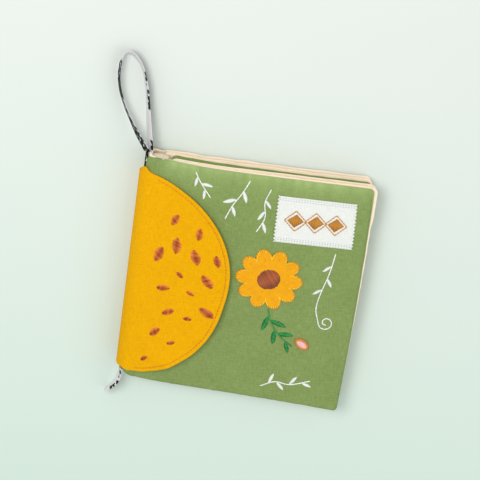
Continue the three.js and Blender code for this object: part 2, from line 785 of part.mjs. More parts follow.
const rootGroup = new THREE.Group();
const stitchRadius = foldRadius - fit;
const stitching = new THREE.CylinderGeometry(stitchRadius, stitchRadius, spineLength, 8);
stitching.translate(0, 0, axisHeight);
rootGroup.add(
  piece('back_cover_cloth', faceSheet(backCover), colours.green),
  piece('back_cover_lining', liningTray(backCover), colours.cream),
  piece('back_cover_batting', batting(backCover), colours.wadding),
  piece('back_cover_crinkle_film', crinkleFilm(backCover), colours.film),
  piece(
    'spine_cover_lower',
    alongSpine(quarter(spineCoverInner, spineCoverOuter, false, coverTongue()), spineLength),
    colours.green,
  ),
  piece(
    'spine_lining_lower',
    alongSpine(
      quarter(spineLiningInner, spineLiningOuter, false, liningTongue(backCoverLiningHeight)),
      spineLength,
    ),
    colours.cream,
  ),
  piece('flap_band_lower', band(false), colours.yellow),
  piece('spine_ribbon', sewnRibbon(), colours.ribbon),
  piece('spine_stitching', stitching, colours.cream),
  piece('hanging_loop', freeRibbon(loopRoute, 44), colours.ribbon),
  piece('ribbon_tail', freeRibbon(tailRoute, 8), colours.ribbon),
);

const rearLeafGroup = new THREE.Group();
rearLeafGroup.add(
  piece('rear_leaf_front_face', faceSheet(rearLeaf), colours.green),
  piece('rear_leaf_back_face', liningTray(rearLeaf), colours.cream),
  piece('rear_leaf_batting', batting(rearLeaf), colours.wadding),
  piece('rear_leaf_crinkle_film', crinkleFilm(rearLeaf), colours.film),
  piece(
    'inner_fold_lower',
    alongSpine(
      quarter(
        foldRadius,
        foldOuter,
        false,
        foldTongue(rearLeafLow - leafThickness + fit, rearLeafLow - fit),
      ),
      spineLength,
    ),
    colours.cream,
  ),
);

const frontLeafGroup = new THREE.Group();
frontLeafGroup.add(
  piece('front_leaf_back_face', faceSheet(frontLeaf), colours.green),
  piece('front_leaf_front_face', liningTray(frontLeaf), colours.cream),
  piece('front_leaf_batting', batting(frontLeaf), colours.wadding),
  piece('front_leaf_crinkle_film', crinkleFilm(frontLeaf), colours.film),
  piece(
    'inner_fold_upper',
    alongSpine(
      quarter(
        foldRadius,
        foldOuter,
        true,
        foldTongue(frontLeafLow + fit, frontLeafLow + leafThickness - fit),
      ),
      spineLength,
    ),
    colours.cream,
  ),
);

const frontCoverGroup = new THREE.Group();
frontCoverGroup.add(
  piece('front_cover_cloth', faceSheet(frontCover), colours.green),
  piece('front_cover_lining', liningTray(frontCover), colours.cream),
  piece('front_cover_batting', batting(frontCover), colours.wadding),
  piece('front_cover_crinkle_film', crinkleFilm(frontCover), colours.film),
  piece(
    'spine_cover_upper',
    alongSpine(quarter(spineCoverInner, spineCoverOuter, true, coverTongue()), spineLength),
    colours.green,
  ),
  piece(
    'spine_lining_upper',
    alongSpine(
      quarter(spineLiningInner, spineLiningOuter, true, liningTongue(frontCoverLiningHeight)),
      spineLength,
    ),
    colours.cream,
  ),
  piece('woven_label', wovenLabel(), colours.white),
  piece('label_stitching', labelStitching(), colours.white),
  piece('label_pattern', labelPattern(), colours.ochre),
  piece('flower_petals', flowerPetals(), colours.yellow),
  piece('flower_centre', flowerCentre(), colours.brown),
  piece('flower_stem', flowerStem(), colours.emerald),
  piece('pink_bud', pinkBud(), colours.pink),
  piece('white_tendril', tendril(), colours.white),
);
sprigs.forEach((design, k) => {
  frontCoverGroup.add(piece(`white_sprig_${k + 1}`, whiteSprig(design), colours.white));
});

const flapGroup = new THREE.Group();
const interfacingLow = flapLining + flapLayerGap;
flapGroup.add(
  piece('flap_lining', flapSheet(0, flapLining), colours.yellow),
  piece(
    'flap_interfacing',
    flapSheet(interfacingLow, flapInterfacing, flapStitchInset),
    colours.wadding,
  ),
  piece('flap_cloth', flapSheet(flapThickness - flapCloth, flapCloth), colours.yellow),
  piece('flap_topstitching', flapTopstitching(), colours.yellow),
  piece('flap_band_upper', band(true), colours.yellow),
);
flapSpots().forEach((geometry, k) => {
  const name = `flap_spot_${String(k + 1).padStart(2, '0')}`;
  flapGroup.add(piece(name, geometry, colours.brown));
});

book.add(rootGroup, rearLeafGroup, frontLeafGroup, frontCoverGroup, flapGroup);

export default book;
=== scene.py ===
import json
from math import acos, atan2, cos, degrees, pi, radians, sin, sqrt, tau
import bmesh
import bpy
import numpy as np
from mathutils import Matrix, Vector
from numpy.random import default_rng


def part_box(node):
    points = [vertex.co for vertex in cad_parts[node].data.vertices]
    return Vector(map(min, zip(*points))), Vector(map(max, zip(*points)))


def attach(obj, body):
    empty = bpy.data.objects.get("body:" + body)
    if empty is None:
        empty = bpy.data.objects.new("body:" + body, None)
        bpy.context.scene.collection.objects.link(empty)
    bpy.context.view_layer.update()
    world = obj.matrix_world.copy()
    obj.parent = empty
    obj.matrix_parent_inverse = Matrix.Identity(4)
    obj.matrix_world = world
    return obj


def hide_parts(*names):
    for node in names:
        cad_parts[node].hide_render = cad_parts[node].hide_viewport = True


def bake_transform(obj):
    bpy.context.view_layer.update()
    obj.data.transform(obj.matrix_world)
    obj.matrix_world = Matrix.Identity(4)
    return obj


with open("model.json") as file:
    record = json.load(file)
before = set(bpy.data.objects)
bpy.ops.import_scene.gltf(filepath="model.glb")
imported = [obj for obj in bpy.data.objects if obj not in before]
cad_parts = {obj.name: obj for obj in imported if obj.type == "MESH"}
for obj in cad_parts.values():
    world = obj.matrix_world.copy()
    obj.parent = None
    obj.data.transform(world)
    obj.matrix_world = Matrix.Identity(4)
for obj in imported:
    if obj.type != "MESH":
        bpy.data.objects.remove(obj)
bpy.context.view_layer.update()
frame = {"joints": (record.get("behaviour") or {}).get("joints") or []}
scene = bpy.context.scene

# Places are in book millimetres: x from the hinge line to the fore edge, y from the foot to the
# head, z up from the floor. metres() puts them in the frame.
MM = 0.001
hinge = frame["joints"][0]["pos_m"]
AXIS = hinge[2] / MM


def metres(points):
    placed = np.array(points, float) * MM
    placed[..., 0] += hinge[0]
    return placed


def node_box(node):
    shift = np.array([hinge[0] / MM, 0, 0])
    return [np.array(corner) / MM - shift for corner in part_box(node)]


def put_in_scene(name, data):
    made = bpy.data.objects.new(name, data)
    scene.collection.objects.link(made)
    return made


# Camera, at the photograph's angle
CAMERA_PLACE = (22.08, 557.0, 1305.6)
CAMERA_TARGET = (69.6, 32.3, 12.0)
CAMERA_ROLL = 0.1455
LENS = 140.5


def add_camera():
    place, target = (Vector(metres(p)) for p in (CAMERA_PLACE, CAMERA_TARGET))
    ahead = (target - place).normalized()
    level = ahead.cross(Vector((0, 1, 0))).normalized()
    upright = level.cross(ahead)
    right = cos(CAMERA_ROLL) * level + sin(CAMERA_ROLL) * upright
    up = cos(CAMERA_ROLL) * upright - sin(CAMERA_ROLL) * level
    camera = put_in_scene("camera", bpy.data.cameras.new("camera"))
    camera.data.lens = LENS
    turn = Matrix((right, up, -ahead)).transposed().to_4x4()
    camera.matrix_world = Matrix.Translation(place) @ turn
    scene.camera = camera


add_camera()


# Small helpers
def clamp(t):
    return np.clip(t, 0, 1)


def smooth(t):
    return clamp(t) ** 2 * (3 - 2 * clamp(t))


def bell(t):
    return np.exp(-(t**2))


def root(t):
    return np.sqrt(np.maximum(0, t))


def stack(*parts):
    """Values side by side on the last axis, as points or as places on the plan."""
    return np.stack(np.broadcast_arrays(*parts), -1)


def unit(vectors):
    return vectors / np.maximum(1e-9, np.linalg.norm(vectors, axis=-1, keepdims=True))


def lengths_along(points):
    steps = np.linalg.norm(np.diff(points, axis=0), axis=1)
    return np.concatenate([[0], np.cumsum(steps)])


def turned(centre, turn, along, across):
    """The plan of places that are given along and across a heading."""
    x = centre[0] + along * cos(turn) - across * sin(turn)
    return x, centre[1] + along * sin(turn) + across * cos(turn)


def circle(centre, radius, angle):
    return np.array(centre) + stack(radius * np.cos(angle), radius * np.sin(angle))


def corner_loss(past, radius):
    """What a rounded corner takes off, at a place this far past the corner's start."""
    return radius - root(radius**2 - np.maximum(0, past) ** 2)


def sewn_form(points):
    """The plan of the sewn book, which isn't a true rectangle: its foot edge runs down towards the
    fore edge, its spine stands up at the head, and its fore edge bows out."""
    x, y = points[..., 0], points[..., 1]
    head = 89.2 + 2.4 * bell((x + 8) / 32)
    foot = 87.6 + 0.036 * x - 3.0 * np.exp(-(x + 8).clip(0) / 14)
    share = smooth((y + 40) / 80)
    bow = 0.6 + 1.6 * (1 - (y / 92) ** 2) - 0.003 * y
    formed = np.array(points)
    formed[..., 0] = x + bow * smooth((x - 60) / 100)
    formed[..., 1] = y / 90 * (head * share + foot * (1 - share))
    return formed


def ripples(seed, wavelength):
    """A smooth wavy field over the plan, mostly between -1 and 1."""
    random = default_rng(seed)
    count = 9
    turns = random.uniform(0, pi, count)
    lengths = wavelength * random.uniform(0.7, 1.5, count)
    phases = random.uniform(0, tau, count)

    def field(x, y):
        waves = zip(turns, lengths, phases)
        return sum(np.sin(tau * (x * cos(a) + y * sin(a)) / b + c) for a, b, c in waves) / sqrt(count)

    return field


EDGE_STEPS = (0, 0.35, 0.8, 1.4, 2.2, 3.2, 4.6, 6.5)


def stations(length, step, scale=1.0):
    """Places from 0 to length that lie closer together near both ends."""
    near = np.array(EDGE_STEPS) / scale
    middle = np.linspace(near[-1], length - near[-1], max(3, round((length - 2 * near[-1]) / step)))
    return np.concatenate([near[:-1], middle, length - near[:-1][::-1]])


def shares_across(half, step):
    """Shares from -1 to 1 of a half width, closer together near both ends."""
    return stations(2, step / half, half) - 1


def smooth_line(controls, steps):
    """Points on a Catmull-Rom curve through the controls, with any number of values at each."""
    c = np.array(controls, float)
    c = np.vstack([2 * c[0] - c[1], c, 2 * c[-1] - c[-2]])
    t = (np.arange(steps) / steps)[:, None]
    parts = []
    for a, b, d, e in zip(c, c[1:], c[2:], c[3:]):
        square, cube = 2 * a - 5 * b + 4 * d - e, 3 * b - a - 3 * d + e
        parts.append(0.5 * (2 * b + (d - a) * t + square * t**2 + cube * t**3))
    return np.concatenate([*parts, c[-2:-1]])


def quads_of(index):
    """The quads of a grid of vertex numbers."""
    quads = [index[:-1, :-1], index[1:, :-1], index[1:, 1:], index[:-1, 1:]]
    return np.stack(quads, -1).reshape(-1, 4)


WELD = 0.01


class Net:
    """Quads gathered from grids of points and welded into one mesh."""

    def __init__(self):
        self.points, self.uvs, self.tints, self.faces, self.kinds = [], [], [], [], []
        self.count = 0

    def grid(self, points, uv=None, tint=0.0, kind=0):
        rows, columns = points.shape[:2]
        index = np.arange(rows * columns).reshape(rows, columns) + self.count
        self.points.append(points.reshape(-1, 3))
        self.uvs.append((points[..., :2] if uv is None else uv).reshape(-1, 2))
        self.tints.append(np.broadcast_to(tint, (rows, columns)).ravel())
        self.faces.append(quads_of(index))
        self.kinds.append(np.full((rows - 1) * (columns - 1), kind))
        self.count += rows * columns

    def shell(self, outer, inner, uv=None, tint=0.0, kinds=(0, 0)):
        """A closed sheet between two grids of the same shape."""
        uv = outer[..., :2] if uv is None else uv
        self.grid(outer, uv, tint, kinds[0])
        self.grid(inner, uv, tint, kinds[1])
        for cut in (np.s_[0, :], np.s_[-1, :], np.s_[:, 0], np.s_[:, -1]):
            edge, edge_uv = np.stack([outer[cut], inner[cut]]), np.stack([uv[cut], uv[cut]])
            self.grid(edge, edge_uv, kind=kinds[1])

    def build(self, name, body, material, *nodes, back=None, slot=None, formed=True):
        """The finished piece. It rides on one body; given two bodies with its start and end, it stays
        fixed where it is made."""
        mesh = bpy.data.meshes.new(name)
        points = np.concatenate(self.points)
        points = metres(sewn_form(points) if formed else points)
        mesh.from_pydata(points.tolist(), [], np.concatenate(self.faces).tolist())
        corner = np.zeros(len(mesh.loops), int)
        mesh.loops.foreach_get("vertex_index", corner)
        layer = mesh.uv_layers.new(name="plan")
        layer.data.foreach_set("uv", np.concatenate(self.uvs)[corner].astype(np.float32).ravel())
        tint = mesh.attributes.new("tint", "FLOAT", "POINT")
        tint.data.foreach_set("value", np.concatenate(self.tints).astype(np.float32))
        mesh.materials.append(material)
        if back is not None:
            mesh.materials.append(back)
        mesh.polygons.foreach_set("material_index", np.concatenate(self.kinds).astype(np.int32))
        work = bmesh.new()
        work.from_mesh(mesh)
        bmesh.ops.remove_doubles(work, verts=work.verts, dist=WELD * MM)
        bmesh.ops.dissolve_degenerate(work, edges=work.edges, dist=0.1 * WELD * MM)
        bmesh.ops.recalc_face_normals(work, faces=work.faces)
        work.to_mesh(mesh)
        work.free()
        mesh.shade_smooth()
        mesh.set_sharp_from_angle(angle=radians(62))
        piece = put_in_scene(name, mesh)
        if isinstance(body, str):
            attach(piece, body)
        else:
            first, second, start, end = body
            tuple(metres(start))
            tuple(metres(end))
            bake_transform(piece)
        slot or material.name.partition(".")[0]
        if nodes:
            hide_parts(*nodes)
        return piece


# Materials
def rgb(r, g, b):
    """An sRGB colour from 0 to 255 as linear values."""
    shares = (c / 255 for c in (r, g, b))
    return *(c / 12.92 if c <= 0.04 else ((c + 0.055) / 1.055) ** 2.4 for c in shares), 1


class Look:
    """A procedural material, with short calls for its nodes. Its sizes are in millimetres."""

    def __init__(self, name, roughness=0.9, sheen=0.0, specular=0.12):
        self.material = bpy.data.materials.new(name)
        self.material.use_nodes = True
        self.tree = self.material.node_tree
        self.shader = self.tree.nodes["Principled BSDF"]
        settings = {"Roughness": roughness, "Sheen Weight": sheen, "Specular IOR Level": specular}
        for name, value in settings.items():
            self.shader.inputs[name].default_value = value
        self.plan = self.node("ShaderNodeUVMap", uv_map="plan").outputs[0]
        split = self.node("ShaderNodeSeparateXYZ", Vector=self.plan)
        self.u, self.v = split.outputs[0], split.outputs[1]
        self.tint = self.node("ShaderNodeAttribute", attribute_name="tint").outputs["Fac"]

    def put(self, socket, value):
        if isinstance(value, bpy.types.NodeSocket):
            self.tree.links.new(value, socket)
        else:
            socket.default_value = value

    def node(self, kind, **settings):
        made = self.tree.nodes.new(kind)
        for name, value in settings.items():
            socket = made.inputs.get(name.replace("_", " ")) or made.inputs.get(name)
            if socket is None:
                setattr(made, name, value)
            else:
                self.put(socket, value)
        return made

    def math(self, operation, *values):
        made = self.node("ShaderNodeMath", operation=operation)
        for socket, value in zip(made.inputs, values):
            self.put(socket, value)
        return made.outputs[0]

    def times(self, a, b, plus=0.0):
        return self.math("MULTIPLY_ADD", a, b, plus)

    def wave(self, along, period):
        return self.math("SINE", self.times(along, tau / period))

    def noise(self, size, stretch=(1, 1, 1), detail=2.0, roughness=0.5):
        """Noise over the plan with grains of this size."""
        scale = tuple(s / size for s in stretch)
        place = self.node("ShaderNodeMapping", Vector=self.plan, Scale=scale).outputs[0]
        settings = {"Scale": 1.0, "Detail": detail, "Roughness": roughness}
        return self.node("ShaderNodeTexNoise", Vector=place, **settings).outputs[0]

    def ramp(self, value, low=0.0, high=1.0):
        made = self.node("ShaderNodeMapRange")
        for socket, given in zip(made.inputs, (value, low, high, 0.0, 1.0)):
            self.put(socket, given)
        return made.outputs[0]

    def mix(self, share, *colours):
        made = self.node("ShaderNodeMix", data_type="RGBA")
        self.put(made.inputs[0], share)
        for socket, colour in zip(made.inputs[6:8], colours):
            self.put(socket, rgb(*colour) if isinstance(colour, tuple) else colour)
        return made.outputs[2]

    def finish(self, colour, height=None, strength=0.3, distance=0.3):
        self.put(self.shader.inputs["Base Color"], colour)
        if height is not None:
            bump = self.node("ShaderNodeBump", Strength=strength, Distance=distance * MM, Height=height)
            self.put(self.shader.inputs["Normal"], bump.outputs[0])
        return self.material

    def weave(self, pitch):
        """Height of a plain weave with this thread pitch: rounded threads that pass over and under."""
        slack = self.times(self.noise(7.0), 0.9)
        a, b = (self.wave(self.math("ADD", way, slack), 2 * pitch) for way in (self.u, self.v))
        over = self.math("GREATER_THAN", self.times(a, b), 0.0)
        under = self.math("SUBTRACT", 1.0, over)
        first = self.times(over, self.math("ABSOLUTE", a))
        return self.times(under, self.math("ABSOLUTE", b), first)

    def yarns(self, thickness):
        """Uneven yarns that run both ways."""
        warp, weft = (self.noise(thickness, way, 3.0, 0.6) for way in ((1, 0.16, 1), (0.16, 1, 1)))
        return self.times(self.math("ADD", warp, weft), 0.5)


def cotton(name, dark, light, seam=None, strength=0.35, broad=0.3, sheen=0.08):
    """Plain cotton cloth: a weave of uneven yarns, a little lighter and darker from place to place."""
    look = Look(name, 0.92, sheen)
    weave, yarns = look.weave(0.75), look.yarns(0.9)
    share = look.times(weave, 0.42, look.times(yarns, 1.6, -0.64 - 0.5 * broad))
    share = look.times(look.noise(24.0, detail=3.0), broad, share)
    colour = look.mix(look.ramp(share), dark, light)
    # The seam colour is painted light, mixed in by the tint: painted shade for the cream, a painted
    # highlight for the green.
    if seam is not None:
        colour = look.mix(look.tint, colour, seam)
    return look.finish(colour, look.times(yarns, 1.2, weave), strength, 0.25)


def thread(name, dark, light, sheen=0.35, roughness=0.42):
    """Glossy embroidery thread: tint runs from the dark colour, a painted shade, to the light one, a
    painted highlight.
    """
    look = Look(name, roughness, sheen, 0.3)
    strands = look.noise(0.5, (0.25, 2.5, 1))
    share = look.math("ADD", look.tint, look.times(strands, 0.5, -0.25))
    return look.finish(look.mix(look.ramp(share), dark, light), strands, 0.4, 0.12)


def felt(name, dark, light):
    look = Look(name, 1.0, 0.25)
    fibres = look.noise(0.7, detail=4.0, roughness=0.7)
    share = look.times(fibres, 0.9, look.times(look.noise(5.0), 0.5, -0.2))
    return look.finish(look.mix(look.ramp(share, 0.1, 0.9), dark, light), fibres, 0.5, 0.3)


def label_cloth(half_width):
    """Dense white weave with a band of grey dots along each long edge."""
    look = Look("label_weave", 0.75, 0.1)
    weave, yarns = look.weave(1.0), look.yarns(0.8)
    share = look.times(weave, 0.45, look.times(yarns, 1.1, -0.3))
    ground = look.mix(look.ramp(share), (208, 209, 207), (250, 250, 246))
    band = look.ramp(look.math("ABSOLUTE", look.v), half_width - 4.0, half_width - 3.5)
    dots = look.math("MINIMUM", look.wave(look.u, 2.0), look.wave(look.v, 1.5))
    dotted = look.times(band, look.ramp(dots, -0.05, 0.3))
    colour = look.mix(look.times(dotted, 0.9), ground, (180, 184, 188))
    return look.finish(colour, look.math("SUBTRACT", weave, dotted), 0.45, 0.2)


PRINT_REPEAT = 52
PRINT_PITCH = 4.6
PRINT_MIDDLE = 110


def ribbon_print(name, ground, marks, size, low, high, edge=None):
    """Satin ribbon with printed flecks, all over or in groups near its upper edge."""
    look = Look(name, 0.6)
    flecks = look.noise(size, (0.6, 1.0, 1), 1.0, 0.4)
    if edge is not None:
        flecks = look.times(look.wave(look.u, PRINT_PITCH), 0.12, flecks)
    flecks = look.ramp(flecks, low, high)
    if edge is not None:
        start = PRINT_MIDDLE - PRINT_REPEAT / 4
        groups = look.wave(look.math("SUBTRACT", look.u, start), PRINT_REPEAT)
        flecks = look.times(flecks, look.ramp(groups, -0.3, -0.15))
        flecks = look.times(flecks, look.ramp(look.v, edge, edge + 0.3))
    return look.finish(look.mix(flecks, ground, marks), look.wave(look.u, 0.6), 0.2, 0.1)


# The green's seam colour is a painted highlight, laid along the front cover's head edge.
GREEN = cotton("green_cotton", (108, 128, 68), (154, 174, 108), (178, 200, 132))
# The cream's seam colour is painted shade, a peach tone laid in creases and in the spine's hollow.
CREAM = cotton("cream_cotton", (242, 222, 196), (255, 245, 228), (243, 214, 187), strength=0.25)
YELLOW = cotton("yellow_cotton", (218, 147, 0), (252, 193, 0), broad=0.2, sheen=0.0)
# Each thread goes from a painted shade colour to a painted highlight colour.
ORANGE_THREAD = thread("orange_thread", (188, 104, 0), (226, 150, 4), 0.1)
YELLOW_THREAD = thread("yellow_thread", (196, 112, 0), (255, 206, 44), 0.1)
SPOT_THREAD = thread("spot_thread", (134, 44, 4), (232, 134, 52), 0.0, 0.55)
WHITE_THREAD = thread("white_thread", (214, 216, 212), (250, 250, 247), 0.2)
OCHRE_THREAD = thread("ochre_thread", (164, 100, 14), (214, 152, 50))
EMERALD_THREAD = thread("emerald_thread", (4, 92, 36), (60, 172, 88), 0.1)
BROWN_THREAD = thread("brown_thread", (120, 52, 20), (196, 104, 52))
YELLOW_FELT = felt("yellow_felt", (220, 146, 4), (250, 180, 18))
PINK_FELT = felt("pink_felt", (224, 158, 172), (246, 204, 212))
RIBBON_BLACK = ribbon_print("ribbon_black", (2, 2, 3), (214, 214, 218), 2.0, 0.60, 0.64)
RIBBON_WHITE = ribbon_print("ribbon_white", (225, 221, 224), (6, 6, 8), 3.0, 0.44, 0.48, 1.3)


# The free ribbon: x, y, height of its middle, and lean in degrees out from the upright
RIBBON_WIDTH = 10
RIBBON_THICKNESS = 0.4
RIBBON_CURL = 0.35
LOOP_ROUTE = [
    (-7.1, 92.8, 12.9, -30), (-9.9, 96.9, 12.2, -31), (-15.0, 103.4, 10.4, -27),
    (-20.0, 111.0, 8.3, -22), (-24.6, 118.4, 6.6, -19), (-28.4, 125.6, 5.5, -17),
    (-31.3, 132.7, 5.2, -16), (-33.2, 140.1, 5.15, -14), (-34.0, 147.0, 5.3, -12),
    (-33.7, 153.6, 5.4, -9), (-32.2, 159.1, 5.25, 7), (-29.4, 162.2, 4.6, 27),
    (-25.6, 161.4, 4.6, 28), (-21.6, 157.8, 4.9, 23), (-18.3, 152.9, 5.0, 18),
    (-15.7, 146.6, 5.1, 16), (-13.6, 139.0, 5.15, 17), (-12.0, 131.0, 5.6, 19),
    (-10.4, 122.0, 7.0, 21), (-8.8, 113.0, 9.0, 23), (-7.0, 104.0, 11.2, 24),
    (-5.4, 96.5, 12.6, 22), (-4.5, 88.9, 12.9, 20),
]
TAIL_ROUTE = [
    (-7.5, -86.0, 12.9, 10), (-7.9, -91.8, 12.6, 14), (-9.1, -96.3, 11.6, 13),
    (-11.1, -100.6, 9.5, 8), (-13.9, -104.8, 7.1, 1), (-17.4, -108.6, 5.0, -6),
]


def free_ribbon(name, node, route, steps):
    """The ribbon on its route, dark on the side to the left of its heading, with its middle line and
    its length."""
    line = smooth_line(route, steps)
    middle = line[:, :3]
    along = unit(np.gradient(middle, axis=0) * (1, 1, 0))
    left = stack(-along[:, 1], along[:, 0], 0)
    lean = np.radians(line[:, 3])[:, None]
    wide = np.array([0, 0, 1]) * np.cos(lean) + left * np.sin(lean)
    thick = np.cross(wide, along)[:, None]
    length = lengths_along(middle)
    across = np.linspace(-1, 1, 9)[:, None]
    sheet = middle[:, None] + wide[:, None] * across * RIBBON_WIDTH / 2 + thick * RIBBON_CURL * across**2
    half = thick * RIBBON_THICKNESS / 2
    net = Net()
    uv = stack(length[:, None], across[:, 0] * RIBBON_WIDTH / 2)
    net.shell(sheet + half, sheet - half, uv, kinds=(0, 1))
    looks = {"back": RIBBON_WHITE, "slot": "ribbon", "formed": False}
    return net.build(name, "back_cover", RIBBON_BLACK, node, **looks), middle, length[-1]


def add_ribbons():
    loop, middle, length = free_ribbon("hanging_loop_ribbon", "hanging_loop", LOOP_ROUTE, 5)
    path = [tuple(p) for p in metres(middle)]
    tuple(path[0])
    tail, middle, length = free_ribbon("ribbon_tail_end", "ribbon_tail", TAIL_ROUTE, 8)


add_ribbons()

# Leaves. Each is a padded body in lining cloth, with one face in green cloth that turns over its
# edge down to a seam on the side wall.
LEAVES = {
    "back_cover": ("back_cover_cloth", "back_cover_lining"),
    "rear_leaf": ("rear_leaf_front_face", "rear_leaf_back_face"),
    "front_leaf": ("front_leaf_back_face", "front_leaf_front_face"),
    "front_cover": ("front_cover_cloth", "front_cover_lining"),
}
HALF_HEIGHT = node_box("front_cover_cloth")[1][1]
CORNER, SPINE_CORNER = 2.6, 5  # corner radii at the fore edge, and of an inner leaf at the spine
EDGE_DRAW = 0.8
CROWN_DROP, CROWN_WIDTH = 0.6, 15
ROLL_DROP, ROLL_WIDTH = 1.2, 1.8
COVER_RISE_END = 22
HUB = 10.2  # everything that swings past the spine stays outside this radius
COVER_TIP = 9.9  # height of a cover's face over the hinge line where it meets the spine
GREEN_SHARE, INNER_GREEN_SHARE = 0.24, 0.34  # how far down the wall the green cloth reaches
HEAD_SWELL = {"front_cover": 1.6, "front_leaf": 1.9, "rear_leaf": 3.2, "back_cover": 3.4}
CLOTH = 0.5
GRID_STEP = 2.4

PANEL_CELLS = 64
PANEL_SIZE = (0.16, 0.18)
PANEL_FRAMES = 20
PANEL_FOLDS, PANEL_CAP = 0.30, 0.9  # the folds' usual and greatest height in millimetres
PANEL_CLOTH = {"quality": 5, "mass": 0.2, "vertex_group_mass": "seam", "shrink_min": -0.06}
PANEL_CLOTH |= {"tension_stiffness": 12, "compression_stiffness": 12, "shear_stiffness": 6}
PANEL_CLOTH |= {"bending_stiffness": 0.02, "use_pressure": True, "uniform_pressure_force": 4}


def blurred(values, reach):
    """Box blur of a square grid, three times each way, with its border repeated outside."""
    for axis in (0, 1) * 3:
        padded = np.pad(values, ((reach, reach), (0, 0))[:: 1 - 2 * axis], mode="edge")
        values = np.lib.stride_tricks.sliding_window_view(padded, 2 * reach + 1, axis).mean(-1)
    return values


def simulated_puckers():
    """The folds that a stuffed panel of cloth takes on inside its seam, in mm on a square grid.
    Two layers sewn round their rim, a little too large for it, are blown up by cloth simulation."""
    n = PANEL_CELLS + 1
    share = np.linspace(-0.5, 0.5, n)
    x, y = np.meshgrid(*(share * size for size in PANEL_SIZE), indexing="ij")
    upper = np.arange(n * n).reshape(n, n)
    inside = np.zeros((n, n), bool)
    inside[1:-1, 1:-1] = True
    lift = inside * (0.0012 + 0.0003 * default_rng(12).random((n, n)))
    under = upper.copy()
    under[inside] = n * n + np.arange(inside.sum())
    points = np.concatenate([stack(x, y, lift).reshape(-1, 3), stack(x, y, -lift)[inside]])
    faces = np.concatenate([quads_of(upper), quads_of(under)[:, ::-1]])
    mesh = bpy.data.meshes.new("panel")
    mesh.from_pydata(points.tolist(), [], faces.tolist())
    panel = put_in_scene("panel", mesh)
    seam = panel.vertex_groups.new(name="seam")
    seam.add(upper[~inside].tolist(), 1.0, "REPLACE")
    cloth = panel.modifiers.new("cloth", "CLOTH")
    for name, value in PANEL_CLOTH.items():
        setattr(cloth.settings, name, value)
    cloth.settings.effector_weights.gravity = 0
    cloth.point_cache.frame_start = 1
    cloth.point_cache.frame_end = PANEL_FRAMES
    for number in range(1, PANEL_FRAMES + 1):
        scene.frame_set(number)
    shaped = panel.evaluated_get(bpy.context.evaluated_depsgraph_get()).data
    places = np.empty(len(shaped.vertices) * 3)
    shaped.vertices.foreach_get("co", places)
    height = places.reshape(-1, 3)[: n * n, 2].reshape(n, n) / MM
    bpy.data.objects.remove(panel)
    scene.frame_set(1)
    edge = np.minimum(0.5 - np.abs(share)[:, None], 0.5 - np.abs(share)[None, :])
    folds = (height - blurred(height, 4)) * smooth(edge / 0.03)
    folds = folds * PANEL_FOLDS / max(1e-6, float(np.sqrt((folds**2).mean())))
    return PANEL_CAP * np.tanh(folds / PANEL_CAP)


puckers = simulated_puckers()


def pucker_field(u, v):
    """The simulated folds at shares u and v of a leaf, by linear interpolation."""
    n = len(puckers) - 1
    i, j = clamp(u) * n, clamp(v) * n
    a, b = np.minimum(i.astype(int), n - 1), np.minimum(j.astype(int), n - 1)
    s, t = i - a, j - b
    near = puckers[a, b] * (1 - s) + puckers[a + 1, b] * s
    far = puckers[a, b + 1] * (1 - s) + puckers[a + 1, b + 1] * s
    return near * (1 - t) + far * t


